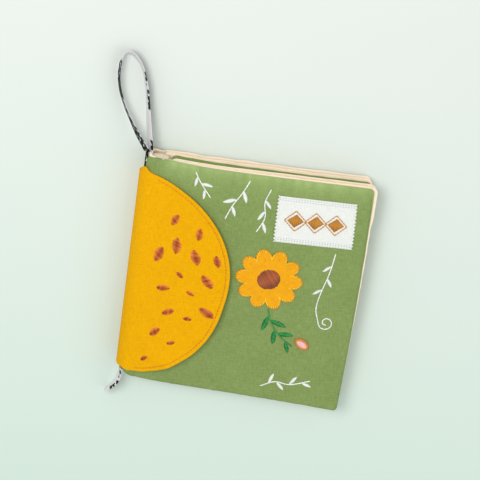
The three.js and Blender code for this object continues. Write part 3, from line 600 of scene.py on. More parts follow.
class Leaf:
    def __init__(self, body, face_node, lining_node, seed):
        face, lining = node_box(face_node), node_box(lining_node)
        self.body = body
        self.cover = "cover" in body
        self.up = 1 if face[1][2] > lining[1][2] else -1
        low, high = min(face[0][2], lining[0][2]), max(face[1][2], lining[1][2])
        self.face_level, self.lining_level = (high, low) if self.up > 0 else (low, high)
        self.front = high > AXIS
        self.reach = face[1][0]
        self.start = 0 if self.cover else HUB + 0.4
        self.body_start = 5.0 if self.cover else self.start
        self.flat = body == "back_cover"
        self.crown = 1.3 if body == "front_cover" else 1.0
        self.green = GREEN_SHARE if self.cover else INNER_GREEN_SHARE
        self.broad, self.edge_wave, self.wall_wave = (
            ripples(seed + k, wavelength) for k, wavelength in ((0, 55), (2, 10), (3, 14))
        )
        self.mirror = seed % 20 > 9

    def side(self, x):
        """Half the leaf's height, with its corners."""
        height = HALF_HEIGHT - EDGE_DRAW * np.sin(pi * clamp(x / self.reach))
        height = height - corner_loss(x - self.reach + CORNER, CORNER)
        if not self.cover:
            height = height - corner_loss(self.start + SPINE_CORNER - x, SPINE_CORNER)
        return height

    def fall(self, x, y, pucker=0.3, crown=1.0):
        """How far a padded face falls towards its seams."""
        side = self.side(x) - np.abs(y)
        fore = self.reach - x
        spine = np.full_like(side, 99) if self.cover else x - self.start
        total = pucker * np.exp(-side / 6) * (0.6 + self.edge_wave(x, 0 * x))
        total = total + pucker * np.exp(-fore / 6) * (0.6 + self.edge_wave(0 * y, y))
        for drop, width, sharp in ((crown * CROWN_DROP, CROWN_WIDTH, False), (ROLL_DROP, ROLL_WIDTH, True)):
            shares = [1 - clamp(distance / width) for distance in (side, fore, spine)]
            near = np.minimum(1, np.sqrt(sum(s**2 for s in shares)))
            total = total + drop * (1 - np.sqrt(1 - near**2) if sharp else near**2)
        return total

    def waves(self, x, y):
        if self.flat:
            return 0 * x * y
        inside = smooth((self.side(x) - np.abs(y)) / 25) * smooth((self.reach - x) / 25)
        v = 0.5 + y / 180
        folds = pucker_field(x / self.reach, 1 - v if self.mirror else v)
        return (0.08 + 0.22 * inside) * self.broad(x, y) + folds * (0.55 if self.cover else 0.8)

    def plane(self, x):
        """The level of a face's highest places, which comes down to the spine on a cover."""
        tip = abs(self.face_level - AXIS) - COVER_TIP if self.cover else 0
        return self.face_level - self.up * tip * (1 - smooth(x / COVER_RISE_END))

    def face(self, x, y):
        pucker = 0.05 if self.flat else 0.3
        fall = self.fall(x, y, pucker, 1 + (self.crown - 1) * smooth((x - 8) / 20))
        return self.plane(x) - self.up * fall + self.waves(x, y)

    def lining(self, x, y):
        level = self.lining_level + self.up * self.fall(x, y) + 0.5 * self.waves(y, x)
        if not self.cover:
            return level
        hub = AXIS + self.up * root(HUB**2 - x**2)
        return np.maximum(level, hub) if self.up > 0 else np.minimum(level, hub)

    def layers(self, start, depth=0.0):
        """Grids of the face, this deep under its surface, and of the lining."""
        x = (start + stations(self.reach - start, GRID_STEP))[:, None]
        x, y = np.broadcast_arrays(x, shares_across(HALF_HEIGHT, GRID_STEP) * self.side(x))
        return stack(x, y, self.face(x, y) - self.up * depth), stack(x, y, self.lining(x, y))

    def wall(self, face, lining, shares, outset=0.0):
        """Rings down the side from the face's rim to the lining's, which stand out between seams."""
        rim_face, rim_lining = rim_of(face), rim_of(lining)
        middle = rim_face[:, :2]
        around = np.roll(middle, -1, 0) - np.roll(middle, 1, 0)
        out = unit(stack(around[:, 1], -around[:, 0]))
        x, y = middle.T
        fore = 0.5 + (1.7 if self.front else 0.6) * smooth((y + 80) / 160)
        if self.front:
            fore = fore + 1.3 * smooth((y - 50) / 30)
        head = 0.3 + 0.7 * smooth(x / 110) if self.front else 0.55 + 0.45 * smooth(x / 70)
        ends = np.where(y > 0, HEAD_SWELL[self.body] * head, 0.6)
        spine = 0.0 if self.cover else 1.0
        bulge = out[:, 0] ** 2 * np.where(out[:, 0] > 0, fore, spine) + out[:, 1] ** 2 * ends
        bulge = bulge * (1 + 0.06 * self.wall_wave(x, y)) * clamp((x - self.body_start) / 9 + 0.4)
        rings = []
        for t in shares:
            seam = 0.45 * bell((t - self.green) / 0.06)
            green = 0.30 * sin(pi / 2 * min(1, t / self.green))
            cream = max(0, (t - self.green) / (1 - self.green))
            swell = green * (1 - cream) + 0.85 * sin(pi * cream) ** 0.6
            ring = rim_face + (rim_lining - rim_face) * t
            ring[:, :2] = middle + out * (bulge * swell - seam * clamp(bulge) + outset)[:, None]
            rings.append(ring)
        return np.array(rings)


def rim_of(grid):
    """The border points of a grid, once round, back to the first."""
    return np.concatenate([grid[:, 0], grid[-1, 1:], grid[-2::-1, -1], grid[0, -2::-1]])


def wall_uv(shares, rings):
    return stack(shares[:, None] * 8, lengths_along(rings[0]))


def add_leaf(leaf, face_node, lining_node):
    face, lining = leaf.layers(leaf.body_start, CLOTH + 0.05)
    net = Net()
    net.grid(face)
    net.grid(lining)
    seam = leaf.green
    stretches = ((0, seam - 0.08, 4), (seam - 0.04, seam + 0.08, 6), (seam + 0.14, 1, 13))
    shares = np.concatenate([np.linspace(*stretch) for stretch in stretches])
    rings = leaf.wall(face, lining, shares)
    # Painted shade: the wall is tinted towards the cream's peach shade colour in its creases, at the seam
    # and at the lining's rim.
    crease_shade = bell((shares - 1) / 0.16) + bell((shares - seam) / 0.08)
    net.grid(rings, wall_uv(shares, rings), tint=0.8 * clamp(crease_shade)[:, None])
    layers = [lining_node, leaf.body + "_batting", leaf.body + "_crinkle_film"]
    body = net.build(leaf.body + "_padding", leaf.body, CREAM, *layers)

    outer, lining = leaf.layers(leaf.start)
    under, _ = leaf.layers(leaf.start, CLOTH)
    shares = np.linspace(0, seam, 7)
    outside, inside = leaf.wall(outer, lining, shares, 0.3), leaf.wall(under, lining, shares, 0.02)
    outside[0], inside[0] = rim_of(outer), rim_of(under)
    uv = wall_uv(shares, outside)
    x, y = outer[..., 0], outer[..., 1]
    # Painted highlight: the front cover's green is tinted lighter along its head edge and down its wall
    # there.
    light = 0 * x
    if leaf.body == "front_cover":
        light = smooth(x / 14) * (0.5 + 0.15 * leaf.edge_wave(x, 0 * y))
        light = clamp(light * np.exp(-np.maximum(0, leaf.side(x) - y) / 7))
    net = Net()
    net.grid(outer, tint=light)
    net.grid(under)
    net.grid(outside, uv, tint=rim_of(light)[None, :])
    net.grid(inside, uv)
    net.grid(np.stack([outside[-1], inside[-1]]), uv[-2:])
    net.build(leaf.body + "_green_cloth", leaf.body, GREEN, face_node)


leaves = {}
for order, (body, nodes) in enumerate(LEAVES.items()):
    leaves[body] = Leaf(body, *nodes, seed=10 * order + 3)
    add_leaf(leaves[body], *nodes)

cover = leaves["front_cover"]

# Flap, which is part of a disc and stands off the cover at its free edge
FLAP_RADIUS = 83
FLAP_CENTRE = FLAP_X, FLAP_Y = -16, -3
FLAP_THICKNESS = 1.7
FLAP_GAP = 0.3
FLAP_LIFT, FLAP_LIFT_START = 3.9, 45
FLAP_STITCH_INSET = 3.0
FLAP_HALF = sqrt(FLAP_RADIUS**2 - FLAP_X**2)
FLAP_FLAT, FLAP_FLAT_PLACE, FLAP_FLAT_REACH = 2.0, -18, 24  # where its edge is flatter than the disc's

flap_broad, flap_small, flap_edge = ripples(71, 48), ripples(72, 17), ripples(73, 12)


def flap_flat(y):
    return FLAP_FLAT * bell((y - FLAP_FLAT_PLACE) / FLAP_FLAT_REACH)


def from_flap_edge(x, y):
    return FLAP_RADIUS - np.hypot(x + flap_flat(y) - FLAP_X, y - FLAP_Y)


def flap_middle(x, y):
    """Height of the middle of the flap's thickness."""
    inside = from_flap_edge(x, y)
    share = clamp(1 - inside / (FLAP_RADIUS - FLAP_LIFT_START))
    lower = clamp(0.6 - y / FLAP_RADIUS)
    rise = FLAP_LIFT * (0.8 + 0.45 * lower) * share**2 * clamp(x / (FLAP_RADIUS / 2 - 12 * lower))
    waves = 0.28 * flap_broad(x, y) + (0.10 + 0.2 * lower) * flap_small(x, y) * share + 0.35
    pucker = 0.22 * np.exp(-inside / 5) * flap_edge(x, y)
    return cover.plane(x) + FLAP_GAP + FLAP_THICKNESS / 2 + rise + smooth(x / 14) * (waves + pucker)


def flap_half_thickness(x, y):
    inside = from_flap_edge(x, y)
    edge = clamp(inside / (FLAP_THICKNESS / 2))
    groove = 0.42 * bell((inside - FLAP_STITCH_INSET) / 0.6)
    return FLAP_THICKNESS / 2 * root(1 - (1 - edge) ** 2) - groove * clamp(x / 10)


def flap_top(x, y):
    return flap_middle(x, y) + flap_half_thickness(x, y)


def add_flap():
    y = FLAP_Y + shares_across(FLAP_HALF, 2.0) * FLAP_HALF
    reach = FLAP_X + root(FLAP_RADIUS**2 - (y - FLAP_Y) ** 2)
    reach = np.maximum(0, reach - flap_flat(y))
    edge = np.array([0, 0.05, 0.16, 0.35, 0.6, 0.9, 1.4, 2.0, 2.5, 3.0, 3.5, 4.0, 4.8]) / 64
    column = np.concatenate([np.linspace(0, 1 - edge[-1], 32), 1 - edge[-2::-1]])
    x, y = np.broadcast_arrays(column[:, None] * reach, y)
    middle, half = flap_middle(x, y), flap_half_thickness(x, y)
    top, bottom = stack(x, y, middle + half), stack(x, y, middle - half)
    net = Net()
    net.grid(top)
    net.grid(bottom)
    net.grid(np.stack([top[0], bottom[0]]))
    flap = net.build("flap_panel", "flap", YELLOW, "flap_cloth", "flap_interfacing", "flap_lining")
    area = FLAP_RADIUS**2 * acos(-FLAP_X / FLAP_RADIUS) + FLAP_X * FLAP_HALF
    area = area - FLAP_FLAT * FLAP_FLAT_REACH * sqrt(pi)


add_flap()

STRAIGHT_STEP = 0.25  # mm for each degree past the ellipse's top or bottom


# Spine. Its cloths are drawn over half an ellipse round the hinge line, in strips: the first rides on
# the back cover, and the others, each set between two leaves, stay fixed where they are made.
def spine_strips(name, outer, thin, angles, bodies, extent, material, nodes, bulge=0.0, roll=0.0):
    """outer and thin are the ellipse's half width and half height and the cloth's thickness there.
    Past its highest and lowest point the cloth runs on straight over the leaves."""
    table = np.radians(np.linspace(90, 270, 361))
    arcs = lengths_along(stack(outer[0] * np.cos(table), outer[1] * np.sin(table)))
    for k, body in enumerate(bodies):
        angle = np.linspace(angles[k], angles[k + 1], 15 if k else 31)
        turn = np.radians(np.clip(angle, 90, 270))
        straight = STRAIGHT_STEP * np.maximum(0, np.maximum(90 - angle, angle - 270))
        arc = np.interp(turn, table, arcs) + np.where(angle > 180, straight, -straight)
        foot, head = (end[:, None] for end in extent(-arc))
        y = foot + (head - foot) * (1 + shares_across(HALF_HEIGHT, GRID_STEP)) / 2
        inset = roll * clamp(1 - np.minimum(y - foot, head - y) / 4) ** 2
        keep = 1 - inset / outer[1]
        sides = []
        for depth in (0, 1):
            taper = depth * (1 - 0.45 * clamp(straight / 8))
            x = (outer[0] - depth * thin[0]) * np.cos(turn)
            z = (outer[1] - taper * thin[1]) * np.sin(turn)
            sides.append(stack(straight[:, None] + x[:, None] * keep, y, AXIS + z[:, None] * keep))
        outside, inside = sides
        uv = stack(-arc[:, None], y)
        net = Net()
        net.grid(outside, uv)
        # Painted shade: on the spine lining, the inside that faces the spine's hollow is tinted towards the
        # cream's peach shade colour.
        net.grid(inside, uv, tint=0.9 if bulge else 0.0)
        for row in (0, -1):
            net.grid(np.stack([outside[row], inside[row]]), np.stack([uv[row], uv[row]]))
        steps = np.linspace(0, 1, 7)[:, None]
        for end, way in ((0, -1), (-1, 1)):
            cap = outside[:, end] * (1 - steps[..., None]) + inside[:, end] * steps[..., None]
            cap[..., 1] += way * bulge * np.sin(pi * steps) * (1 - 0.75 * clamp(straight / 3))
            net.grid(cap, stack(-arc, cap[..., 1]))
        if not isinstance(body, str):
            ends = turn[0], max(turn[-1], radians(92))
            body = (*body, *((outer[0] * cos(a), 0, AXIS + outer[1] * sin(a)) for a in ends))
        piece = net.build(f"{name}_{k}", body, material, *nodes.get(k, ()))


def cover_extent(along):
    """Foot and head ends of the spine cloth, which draw in a little away from the covers."""
    drawn = 0.8 * smooth(-along / 9)
    return -HALF_HEIGHT + drawn, HALF_HEIGHT - drawn


def lining_extent(along):
    foot, head = cover_extent(along)
    return foot + 2.0, head - 0.8 + 2.4 * smooth((-along - 2) / 8)


def band_extent(along):
    """The band is the flap's disc carried on round the fold, flared a little at the head's fold."""
    half = np.sqrt(FLAP_RADIUS**2 - (np.maximum(along, -8) - FLAP_X) ** 2)
    flare = 2.6 * bell((along + 8) / 4) - 3.2 * smooth((-8 - along) / 9)
    return FLAP_Y - half + smooth(-along / 6), FLAP_Y + half + flare


STRIP_BODIES = ["back_cover", *zip(LEAVES, list(LEAVES)[1:])]
spine_strips(
    "spine_lining",
    outer=(6.7, COVER_TIP - 0.6), thin=(2.4, 2.1), angles=(296, 180, 158, 146, 64),
    bodies=STRIP_BODIES, extent=lining_extent, material=CREAM,
    nodes={0: ["spine_lining_lower"], 3: ["spine_lining_upper"]}, bulge=1.1, roll=1.9,
)
spine_strips(
    "spine_cloth",
    outer=(7.4, COVER_TIP), thin=(CLOTH, CLOTH), angles=(270, 180, 158, 146, 90),
    bodies=STRIP_BODIES, extent=cover_extent, material=GREEN,
    nodes={0: ["spine_cover_lower"], 3: ["spine_cover_upper"]}, roll=1.2,
)
spine_strips(
    "flap_band",
    outer=(11.0, COVER_TIP + FLAP_GAP + FLAP_THICKNESS), thin=(1.2, FLAP_THICKNESS),
    angles=(266, 180, 150, 144, 101, 90), bodies=[*STRIP_BODIES, ("front_cover", "flap")],
    extent=band_extent, material=YELLOW, nodes={0: ["flap_band_lower"], 4: ["flap_band_upper"]},
)


def add_spine_ribbon():
    y = np.linspace(-89, 91, 90)
    middle = 206 - 26 * smooth((np.abs(y) - 66) / 16)
    turn = np.radians(middle + np.linspace(-38, 38, 15)[:, None])
    radii = ((8.1, 7.632), (7.6, 7.272))
    outside, inside = (stack(a * np.cos(turn), y, AXIS + b * np.sin(turn)) for a, b in radii)
    net = Net()
    net.shell(outside, inside, stack(y, np.degrees(turn) * 0.13))
    net.build("spine_ribbon_strip", "back_cover", RIBBON_BLACK, "spine_ribbon", slot="ribbon")


add_spine_ribbon()


FOLD_BODY = ("rear_leaf", "front_leaf", (4, 0, 10.2), (4, 0, 15.7))


def add_spine_filling():
    """Wadding that closes the ends of the spine, a little inside the rim of its lining."""
    ring = np.linspace(0, tau, 49)
    depth, swell = 1.4, 0.5
    share = np.sin(np.linspace(0, pi / 2, 8))
    size = np.concatenate([share, [1, 1], share[::-1]])[:, None]
    rise = np.concatenate([depth + swell * (1 - share**2), [depth, 0], 0 * share])[:, None]
    x, z = 2.9 + 6.5 * size * np.cos(ring), AXIS + 5.6 * size * np.sin(ring)
    for name, way in (("head", 1), ("foot", -1)):
        net = Net()
        # Painted shade: the filling, in the spine's hollow, is tinted a little towards the cream's peach
        # shade colour.
        net.grid(stack(x, way * (HALF_HEIGHT - 2.2 + rise), z), tint=0.35)
        piece = net.build(f"spine_filling_{name}", FOLD_BODY, CREAM)


add_spine_filling()


def add_inner_fold():
    """The cloth that joins the two inner leaves, folded once round the sewing line."""
    route = [(12.5, 9.4), (9, 9.6), (4, 10.2), (0, 10.9), (-2.6, 12.95)]
    route += [(0, 15.0), (4, 15.7), (9, 15.0), (12.5, 14.8)]
    line = smooth_line(route, 5)
    along = unit(np.gradient(line, axis=0))
    half = 0.6 * stack(-along[:, 1], along[:, 0])
    y = stations(2 * HALF_HEIGHT - 5, GRID_STEP) - HALF_HEIGHT + 2.5
    outer, inner = (stack(side[:, :1], y, side[:, 1:]) for side in (line + half, line - half))
    net = Net()
    # Painted shade: the fold, deep in the spine, is tinted a quarter of the way towards the cream's peach
    # shade colour.
    net.shell(outer, inner, stack(3.0 * np.arange(len(line))[:, None], y), tint=0.25)
    net.build("inner_fold", FOLD_BODY, CREAM, "inner_fold_lower", "inner_fold_upper")


add_inner_fold()


# Stitches
def stitch(net, start, end, radius, rise, light=0.6):
    """One stitch of thread: a slim rounded bar from start to end that rises in its middle."""
    start, end = np.array(start, float), np.array(end, float)
    t = (1 - np.cos(np.linspace(0, pi, 7))) / 2
    along = unit(end - start)
    side = unit(np.cross([0, 0, 1], along))
    up = np.cross(along, side)
    middle = start + t[:, None] * (end - start)
    middle[:, 2] += rise * np.sin(pi * t)
    thick = radius * np.sqrt(np.maximum(0.02, 1 - (2 * t - 1) ** 4))
    thick[0] = thick[-1] = 0.0
    turn = np.linspace(0, tau, 7)
    ring = side * np.cos(turn)[:, None] + up * np.sin(turn)[:, None]
    uv = stack(t[:, None] * np.linalg.norm(end - start), turn)
    # light is painted: 0 gives the thread's painted shade, 1 its painted highlight.
    net.grid(middle[:, None] + thick[:, None, None] * ring, uv, tint=light)


def resample(points, step):
    points = np.array(points, float)
    length = lengths_along(points)
    count = max(1, round(length[-1] / step))
    places = np.linspace(0, length[-1], count + 1)
    return stack(*(np.interp(places, length, values) for values in points.T))


def stitched_line(net, points, surface, random, length, radius, gap, lift):
    """A row of stitches along points in the plan."""
    knots = resample(points, length)
    for a, b in zip(knots[:-1], knots[1:]):
        a, b = a + gap * (b - a) / 2, b - gap * (b - a) / 2
        ends = [(*p, float(surface(p[0], p[1])) + lift) for p in (a, b)]
        stitch(net, *ends, radius, 0.18, random.uniform(0.35, 0.9))


def satin(
    net, centre, heading, half_length, half_width, surface, random, pitch, dome, slant, glow=(0.02, 0.55)
):
    """A patch of satin stitch: ridged threads across a shape whose half width is a function of the
    place along it, from -1 to 1. glow is the painted light at its edges and what its middle adds."""
    count = max(3, round(2 * half_length / pitch))
    place = np.linspace(-1, 1, 4 * count + 1)
    across = np.linspace(-1, 1, 9)
    jitter = np.append(np.repeat(random.uniform(0.93, 1.05, count), 4), 1)
    width = (half_width(place) * jitter)[:, None]
    ridge = np.abs(np.sin(pi * np.arange(4 * count + 1) / 4)) ** 0.6
    c = across * width
    s = place[:, None] * half_length + slant * c
    x, y = turned(centre, radians(heading), s, c)
    arch = root(1 - across**2)
    height = 0.25 + dome * np.sqrt(width / max(1e-9, width.max())) + 0.16 * ridge[:, None]
    sheen = np.append(np.repeat(random.uniform(-0.25, 0.25, count), 4), 0)
    # Painted light: glow across each thread, one side painted lighter than the other, and a random painted
    # sheen on each thread.
    light = glow[0] + glow[1] * arch**4 + 0.15 * across + sheen[:, None]
    net.grid(stack(x, y, surface(x, y) - 0.12 + arch * height), stack(s, c), tint=light)


def lens_width(half_width, fullness=0.8):
    return lambda place: half_width * np.maximum(0, np.cos(pi * place / 2)) ** fullness


def add_flap_stitching():
    net = Net()
    angles = np.radians(np.linspace(-76, 76, 90))
    points = circle(FLAP_CENTRE, FLAP_RADIUS - FLAP_STITCH_INSET, angles)
    points[:, 0] -= flap_flat(points[:, 1])
    points = points[points[:, 0] > 2]
    stitched_line(net, points, flap_top, default_rng(5), 2.8, 0.34, 0.15, 0.08)
    net.build("flap_topstitches", "flap", ORANGE_THREAD, "flap_topstitching", slot="yellow_cotton")


add_flap_stitching()

# Satin-stitched spots on the flap, spread by the golden ratio
SPOT_COUNT = 16
SPOT_MARGIN = 8
SPOT_START = 1.5  # the flap's inner edge
SPOT_HALF = (6.0375, 3.64)  # half length and half width of a spot of size 1


def spot_places():
    golden = (sqrt(5) - 1) / 2
    nearest = SPOT_START + SPOT_MARGIN
    radius = FLAP_RADIUS - SPOT_MARGIN
    for k in range(SPOT_COUNT):
        out = sqrt((k + 0.5) / SPOT_COUNT)
        turn = pi * (((golden * k + 0.35) % 1) - 0.5)
        along = out * cos(turn)
        across = out * sin(turn) / sqrt(1 - along**2)
        x = nearest + along * (FLAP_X + radius - nearest)
        y = FLAP_Y + across * sqrt(radius**2 - (x - FLAP_X) ** 2)
        yield (x, y), 0.8 + 0.3 * sin(2.1 * k), 67 * k


def add_spots():
    net = Net()
    random = default_rng(8)
    for place, size, heading in spot_places():
        length, width = (size * half for half in SPOT_HALF)
        shape = lens_width(width, 0.6)
        # The spots' rims are painted light and their middles painted dark, as shade.
        satin(net, place, heading, length, shape, flap_top, random, 0.85, 0.55, 0.3, (0.85, -0.65))
    nodes = [f"flap_spot_{k:02d}" for k in range(1, SPOT_COUNT + 1)]
    net.build("flap_spots", "flap", SPOT_THREAD, *nodes, slot="brown_thread")


add_spots()

# Woven label with cut ends in small teeth
LABEL_LENGTH, LABEL_WIDTH = 58.5, 36.5
LABEL_CENTRE = (121.5, 59)
LABEL_TURN = radians(1.2)
LABEL_TOOTH, LABEL_TEETH = 1.4, 13
LABEL_THICKNESS = 0.6

label_waves = ripples(31, 26)


def label_plan(along, across):
    return turned(LABEL_CENTRE, LABEL_TURN, along, across)


def label_top(x, y):
    return cover.face(x, y) + 0.25 + LABEL_THICKNESS + 0.10 * label_waves(x, y)


def stitched_frame(net, corners, random, *stitching):
    """Stitches on the label from corner to corner and back to the first."""
    for ends in zip(corners, corners[1:] + corners[:1]):
        stitched_line(net, [label_plan(*end) for end in ends], label_top, random, *stitching)


def diamond_width(place):
    return LABEL_WIDTH / 6 * (1 - np.abs(place)) + 0.05


def add_label():
    across = np.linspace(-0.5, 0.5, 4 * LABEL_TEETH + 1) * LABEL_WIDTH
    tooth = LABEL_TOOTH * np.abs((np.arange(len(across)) + 2) % 4 - 2) / 2
    along = np.linspace(-1, 1, 50)[:, None] * (LABEL_LENGTH / 2 - tooth)
    along, across = np.broadcast_arrays(along, across)
    x, y = label_plan(along, across)
    near = np.minimum(LABEL_WIDTH / 2 - np.abs(across), LABEL_LENGTH / 2 - np.abs(along))
    drop = 0.35 * (1 - clamp(near / 1.2)) ** 2
    level = label_top(x, y)
    net = Net()
    net.shell(stack(x, y, level - drop), stack(x, y, level - LABEL_THICKNESS), stack(along, across))
    label = net.build("label_cloth", "front_cover", label_cloth(LABEL_WIDTH / 2), "woven_label")

    random = default_rng(14)
    net = Net()
    a, b = LABEL_LENGTH / 2 - 2.2, LABEL_WIDTH / 2 - 1.0
    stitched_frame(net, [(-a, -b), (a, -b), (a, b), (-a, b)], random, 2.2, 0.24, 0.22, 0.02)
    net.build("label_stitches", "front_cover", WHITE_THREAD, "label_stitching")

    net = Net()
    size = LABEL_WIDTH / 6
    rim = size + 2.0
    for middle in (-LABEL_LENGTH / 4, 0, LABEL_LENGTH / 4):
        place, turn = label_plan(middle, 0), degrees(LABEL_TURN)
        satin(net, place, turn, size, diamond_width, label_top, random, 0.45, 0.25, 0.1)
        corners = [(middle + rim, 0), (middle, rim), (middle - rim, 0), (middle, -rim)]
        stitched_frame(net, corners, random, 2.4, 0.42, 0.05, 0.12)
    net.build("label_diamonds", "front_cover", OCHRE_THREAD, "label_pattern")


add_label()

# Appliqué flower with its stem and bud
FLOWER = (94, 9)
FLOWER_RADIUS = 24
PETALS = 10
PETAL_NOTCH = 0.3
FLOWER_CENTRE_RADIUS = 8.5
FELT = 0.9


def petal_radius(angle):
    swell = np.abs(np.cos(PETALS * angle / 2)) ** 0.6
    return FLOWER_RADIUS * (1 - PETAL_NOTCH * (1 - swell))


def felt_top(x, y):
    return cover.face(x, y) + FELT


def felt_patch(net, centre, outline, rings=12):
    """Felt inside an outline of points round a centre, soft at its cut edge."""
    share = 1 - np.linspace(0, 1, rings) ** 1.6
    x, y = np.moveaxis(centre + (outline - centre) * share[:, None, None], -1, 0)
    edge = root(1 - (1 - clamp((1 - share) * 14)) ** 2)[:, None]
    patch = stack(x, y, cover.face(x, y) + 0.1 + FELT * (0.25 + 0.75 * edge))
    net.grid(patch)
    net.grid(np.stack([patch[0], patch[0] - (0, 0, 0.4)]))


def blanket_stitch(net, outline, centre, spacing, reach, random):
    """Thread along a cut edge, with a short stitch inwards at each step."""
    knots = resample(outline, spacing)
    inwards = unit(centre - knots)
    out = knots - 0.45 * inwards
    for k in range(len(knots) - 1):
        a, b, c = out[k], out[k + 1], knots[k] + reach * inwards[k]
        base = float(cover.face(*knots[k])) + 0.1
        # Painted light: the stitch along the edge is painted darker, as shaded, and the one up over the
        # felt lighter, as lit.
        stitch(net, (*a, base + 0.15), (*b, base + 0.15), 0.38, 0.1, random.uniform(0.1, 0.5))
        stitch(net, (*a, base + 0.25), (*c, base + FELT + 0.15), 0.48, 0.5, random.uniform(0.6, 1.0))


def lens_outline(centre, length, width, heading):
    t = np.linspace(0, tau, 29)
    along, across = length / 2 * np.cos(t), width / 2 * np.sin(t) * np.abs(np.sin(t)) ** 0.35
    return stack(*turned(centre, radians(heading), along, across))


def below_flower(right, down):
    return FLOWER[0] + right * FLOWER_RADIUS, FLOWER[1] - 0.3 - (1 + down) * FLOWER_RADIUS


def round_width(place):
    return FLOWER_CENTRE_RADIUS * root(1 - place**2)


def add_flower():
    random = default_rng(21)
    centre = np.array(FLOWER, float)
    angle = np.linspace(0, tau, 24 * PETALS + 1)
    outline = circle(centre, petal_radius(angle), angle)
    net = Net()
    felt_patch(net, centre, outline, 26)
    net.build("flower_felt", "front_cover", YELLOW_FELT, "flower_petals")
    net = Net()
    blanket_stitch(net, outline, centre, 1.7, 2.0, random)
    for k in range(PETALS):
        radii = np.array([FLOWER_CENTRE_RADIUS + 1.5, 0.8 * FLOWER_RADIUS])
        points = circle(centre, radii, tau * k / PETALS)
        stitched_line(net, points, felt_top, random, 2.4, 0.3, 0.1, 0.15)
    net.build("flower_stitches", "front_cover", YELLOW_THREAD, slot="yellow_felt")
    net = Net()
    radius = FLOWER_CENTRE_RADIUS
    satin(net, FLOWER, 35, radius, round_width, felt_top, random, 0.55, 1.1, 0.0)
    net.build("flower_eye", "front_cover", BROWN_THREAD, "flower_centre")


add_flower()

# Embroidered stems: a stitched line with pointed leaves in satin stitch
LEAF_LEAN = 42


def sprig(net, controls, plan_leaves, leaf_length, leaf_width, random, steps=12, radius=0.5):
    """plan_leaves has each leaf's place along the stem, its side and its size."""
    line = smooth_line(controls, 8)
    stitched_line(net, line, cover.face, random, 3.0, radius, -0.3, 0.15)
    points = resample(line, lengths_along(line)[-1] / steps)
    for place, side, size in plan_leaves:
        at = round(place * (steps - 1))
        step = points[at + 1] - points[at]
        heading = degrees(atan2(step[1], step[0])) + LEAF_LEAN * side
        reach = size * leaf_length / 2
        centre = turned(points[at], radians(heading), reach, 0)
        shape = lens_width(size * leaf_width / 2)
        satin(net, centre, heading, reach, shape, cover.face, random, 0.5, 0.35, 0.5)


def add_stem():
    random = default_rng(33)
    net = Net()
    controls = [below_flower(*p) for p in ((0.12, 0), (0.25, 0.38), (0.54, 0.8), (1, 1.12))]
    stem_leaves = [(0.2, -1, 1), (0.3, 1, 1), (0.55, -1, 0.92), (0.65, 1, 0.92), (0.9, -1, 0.77)]
    sprig(net, controls, stem_leaves, 13, 4.6, random, radius=0.55)
    net.build("flower_stalk", "front_cover", EMERALD_THREAD, "flower_stem")
    net = Net()
    centre = np.array(below_flower(1.3, 1))
    outline = lens_outline(centre, 11, 6.5, -30)
    felt_patch(net, centre, outline)
    net.build("bud_felt", "front_cover", PINK_FELT, "pink_bud")
    net = Net()
    blanket_stitch(net, outline, centre, 1.4, 1.3, random)
    net.build("bud_stitches", "front_cover", ORANGE_THREAD, slot="yellow_felt")


add_stem()


def on_cover(right, up):
    """A point on the front cover, in shares of its reach and of its half height."""
    return right * cover.reach, up * HALF_HEIGHT


# White sprigs and a curled tendril: the stems' places on the cover, and their leaves
SPRIGS = [
    [(0.44, 0.94), (0.41, 0.82), (0.375, 0.71), (0.35, 0.59)],
    [(0.19, 0.95), (0.21, 0.89), (0.24, 0.82), (0.27, 0.755)],
    [(0.54, 0.89), (0.52, 0.77), (0.53, 0.64), (0.5, 0.51)],
    [(0.625, -0.87), (0.69, -0.81), (0.76, -0.82), (0.85, -0.76)],
]
SPRIG_LEAVES = [
    [(0.25, 1, 1.1), (0.5, -1, 1.2), (0.75, 1, 1)],
    [(0.2, -1, 0.9), (0.45, 1, 1), (0.7, -1, 0.9)],
    [(0.3, 1, 0.9), (0.55, -1, 1), (0.8, 1, 1)],
    [(0.15, 1, 1), (0.4, -1, 1), (0.65, 1, 1), (0.88, -1, 0.9)],
]
TENDRIL = [(0.87, 0.4), (0.855, 0.22), (0.83, 0.04), (0.82, -0.11), (0.837, -0.21)]
TENDRIL_LEAVES = [(0.12, -1, 0.9), (0.24, 1, 0.9), (0.36, -1, 0.9)]
CURL_RADIUS = 6


def add_sprig(name, stem, curl, plan_leaves, seed, steps=12):
    net = Net()
    controls = [*(on_cover(*place) for place in stem), *curl]
    sprig(net, controls, plan_leaves, 9, 2.8, default_rng(seed), steps)
    net.build(name, "front_cover", WHITE_THREAD, "white_" + name)


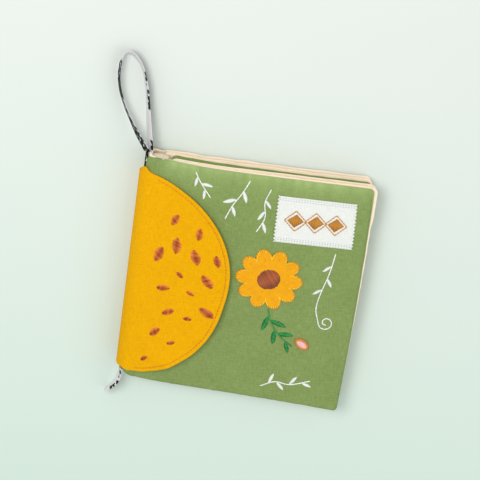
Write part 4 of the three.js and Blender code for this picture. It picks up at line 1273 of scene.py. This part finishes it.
def add_sprigs():
    for k, (stem, plan_leaves) in enumerate(zip(SPRIGS, SPRIG_LEAVES), 1):
        add_sprig(f"sprig_{k}", stem, [], plan_leaves, 40 + k)
    step = np.arange(10)
    curl = circle(on_cover(0.875, -0.22), CURL_RADIUS * (1 - 0.075 * step), np.radians(190 + 50 * step))
    add_sprig("tendril", TENDRIL, curl, TENDRIL_LEAVES, 50, 44)


add_sprigs()


def add_spine_thread():
    net = Net()
    for y in np.arange(-84, 84, 6.0):
        stitch(net, (-3.1, y, AXIS), (-3.1, y + 4.6, AXIS), 0.35, 0.2)
    net.build("sewing_thread", "back_cover", WHITE_THREAD, "spine_stitching", slot="cream_cotton")


add_spine_thread()


# Floor and light
def add_floor():
    look = Look("floor", 0.95)
    place = look.node("ShaderNodeNewGeometry").outputs["Position"]
    split = look.node("ShaderNodeSeparateXYZ", Vector=place)
    # Painted light: the floor is painted darker towards the foot and lighter towards the head, as if lit
    # more from the head.
    look.finish(look.mix(look.ramp(split.outputs[1], -0.22, 0.28), (210, 227, 217), (225, 227, 225)))
    mesh = bpy.data.meshes.new("floor")
    half = 4.0
    corners = [(-half, -half, 0), (half, -half, 0), (half, half, 0), (-half, half, 0)]
    mesh.from_pydata(corners, [], [(0, 1, 2, 3)])
    mesh.uv_layers.new(name="plan")
    mesh.materials.append(look.material)
    floor = put_in_scene("floor", mesh)
    floor.location.z = -0.0002


def add_light(name, place, size, power, colour=(1, 1, 1)):
    light = bpy.data.lights.new(name, "AREA")
    light.shape = "RECTANGLE"
    light.size = light.size_y = size
    light.energy = power
    light.color = colour
    lamp = put_in_scene(name, light)
    lamp.location = place
    lamp.rotation_euler = (-Vector(place)).to_track_quat("-Z", "Y").to_euler()


def add_surroundings():
    world = bpy.data.worlds.new("studio")
    world.use_nodes = True
    background = world.node_tree.nodes["Background"]
    background.inputs[0].default_value = (0.93, 0.98, 0.95, 1)
    background.inputs[1].default_value = 0.63
    scene.world = world
    add_floor()
    add_light("key", (-0.42, 0.5, 1.15), 0.6, 8.6, (1, 0.985, 0.96))
    add_light("fill", (0.8, 0.0, 0.9), 1.0, 2.6)
    scene.view_settings.view_transform = "Standard"


add_surroundings()
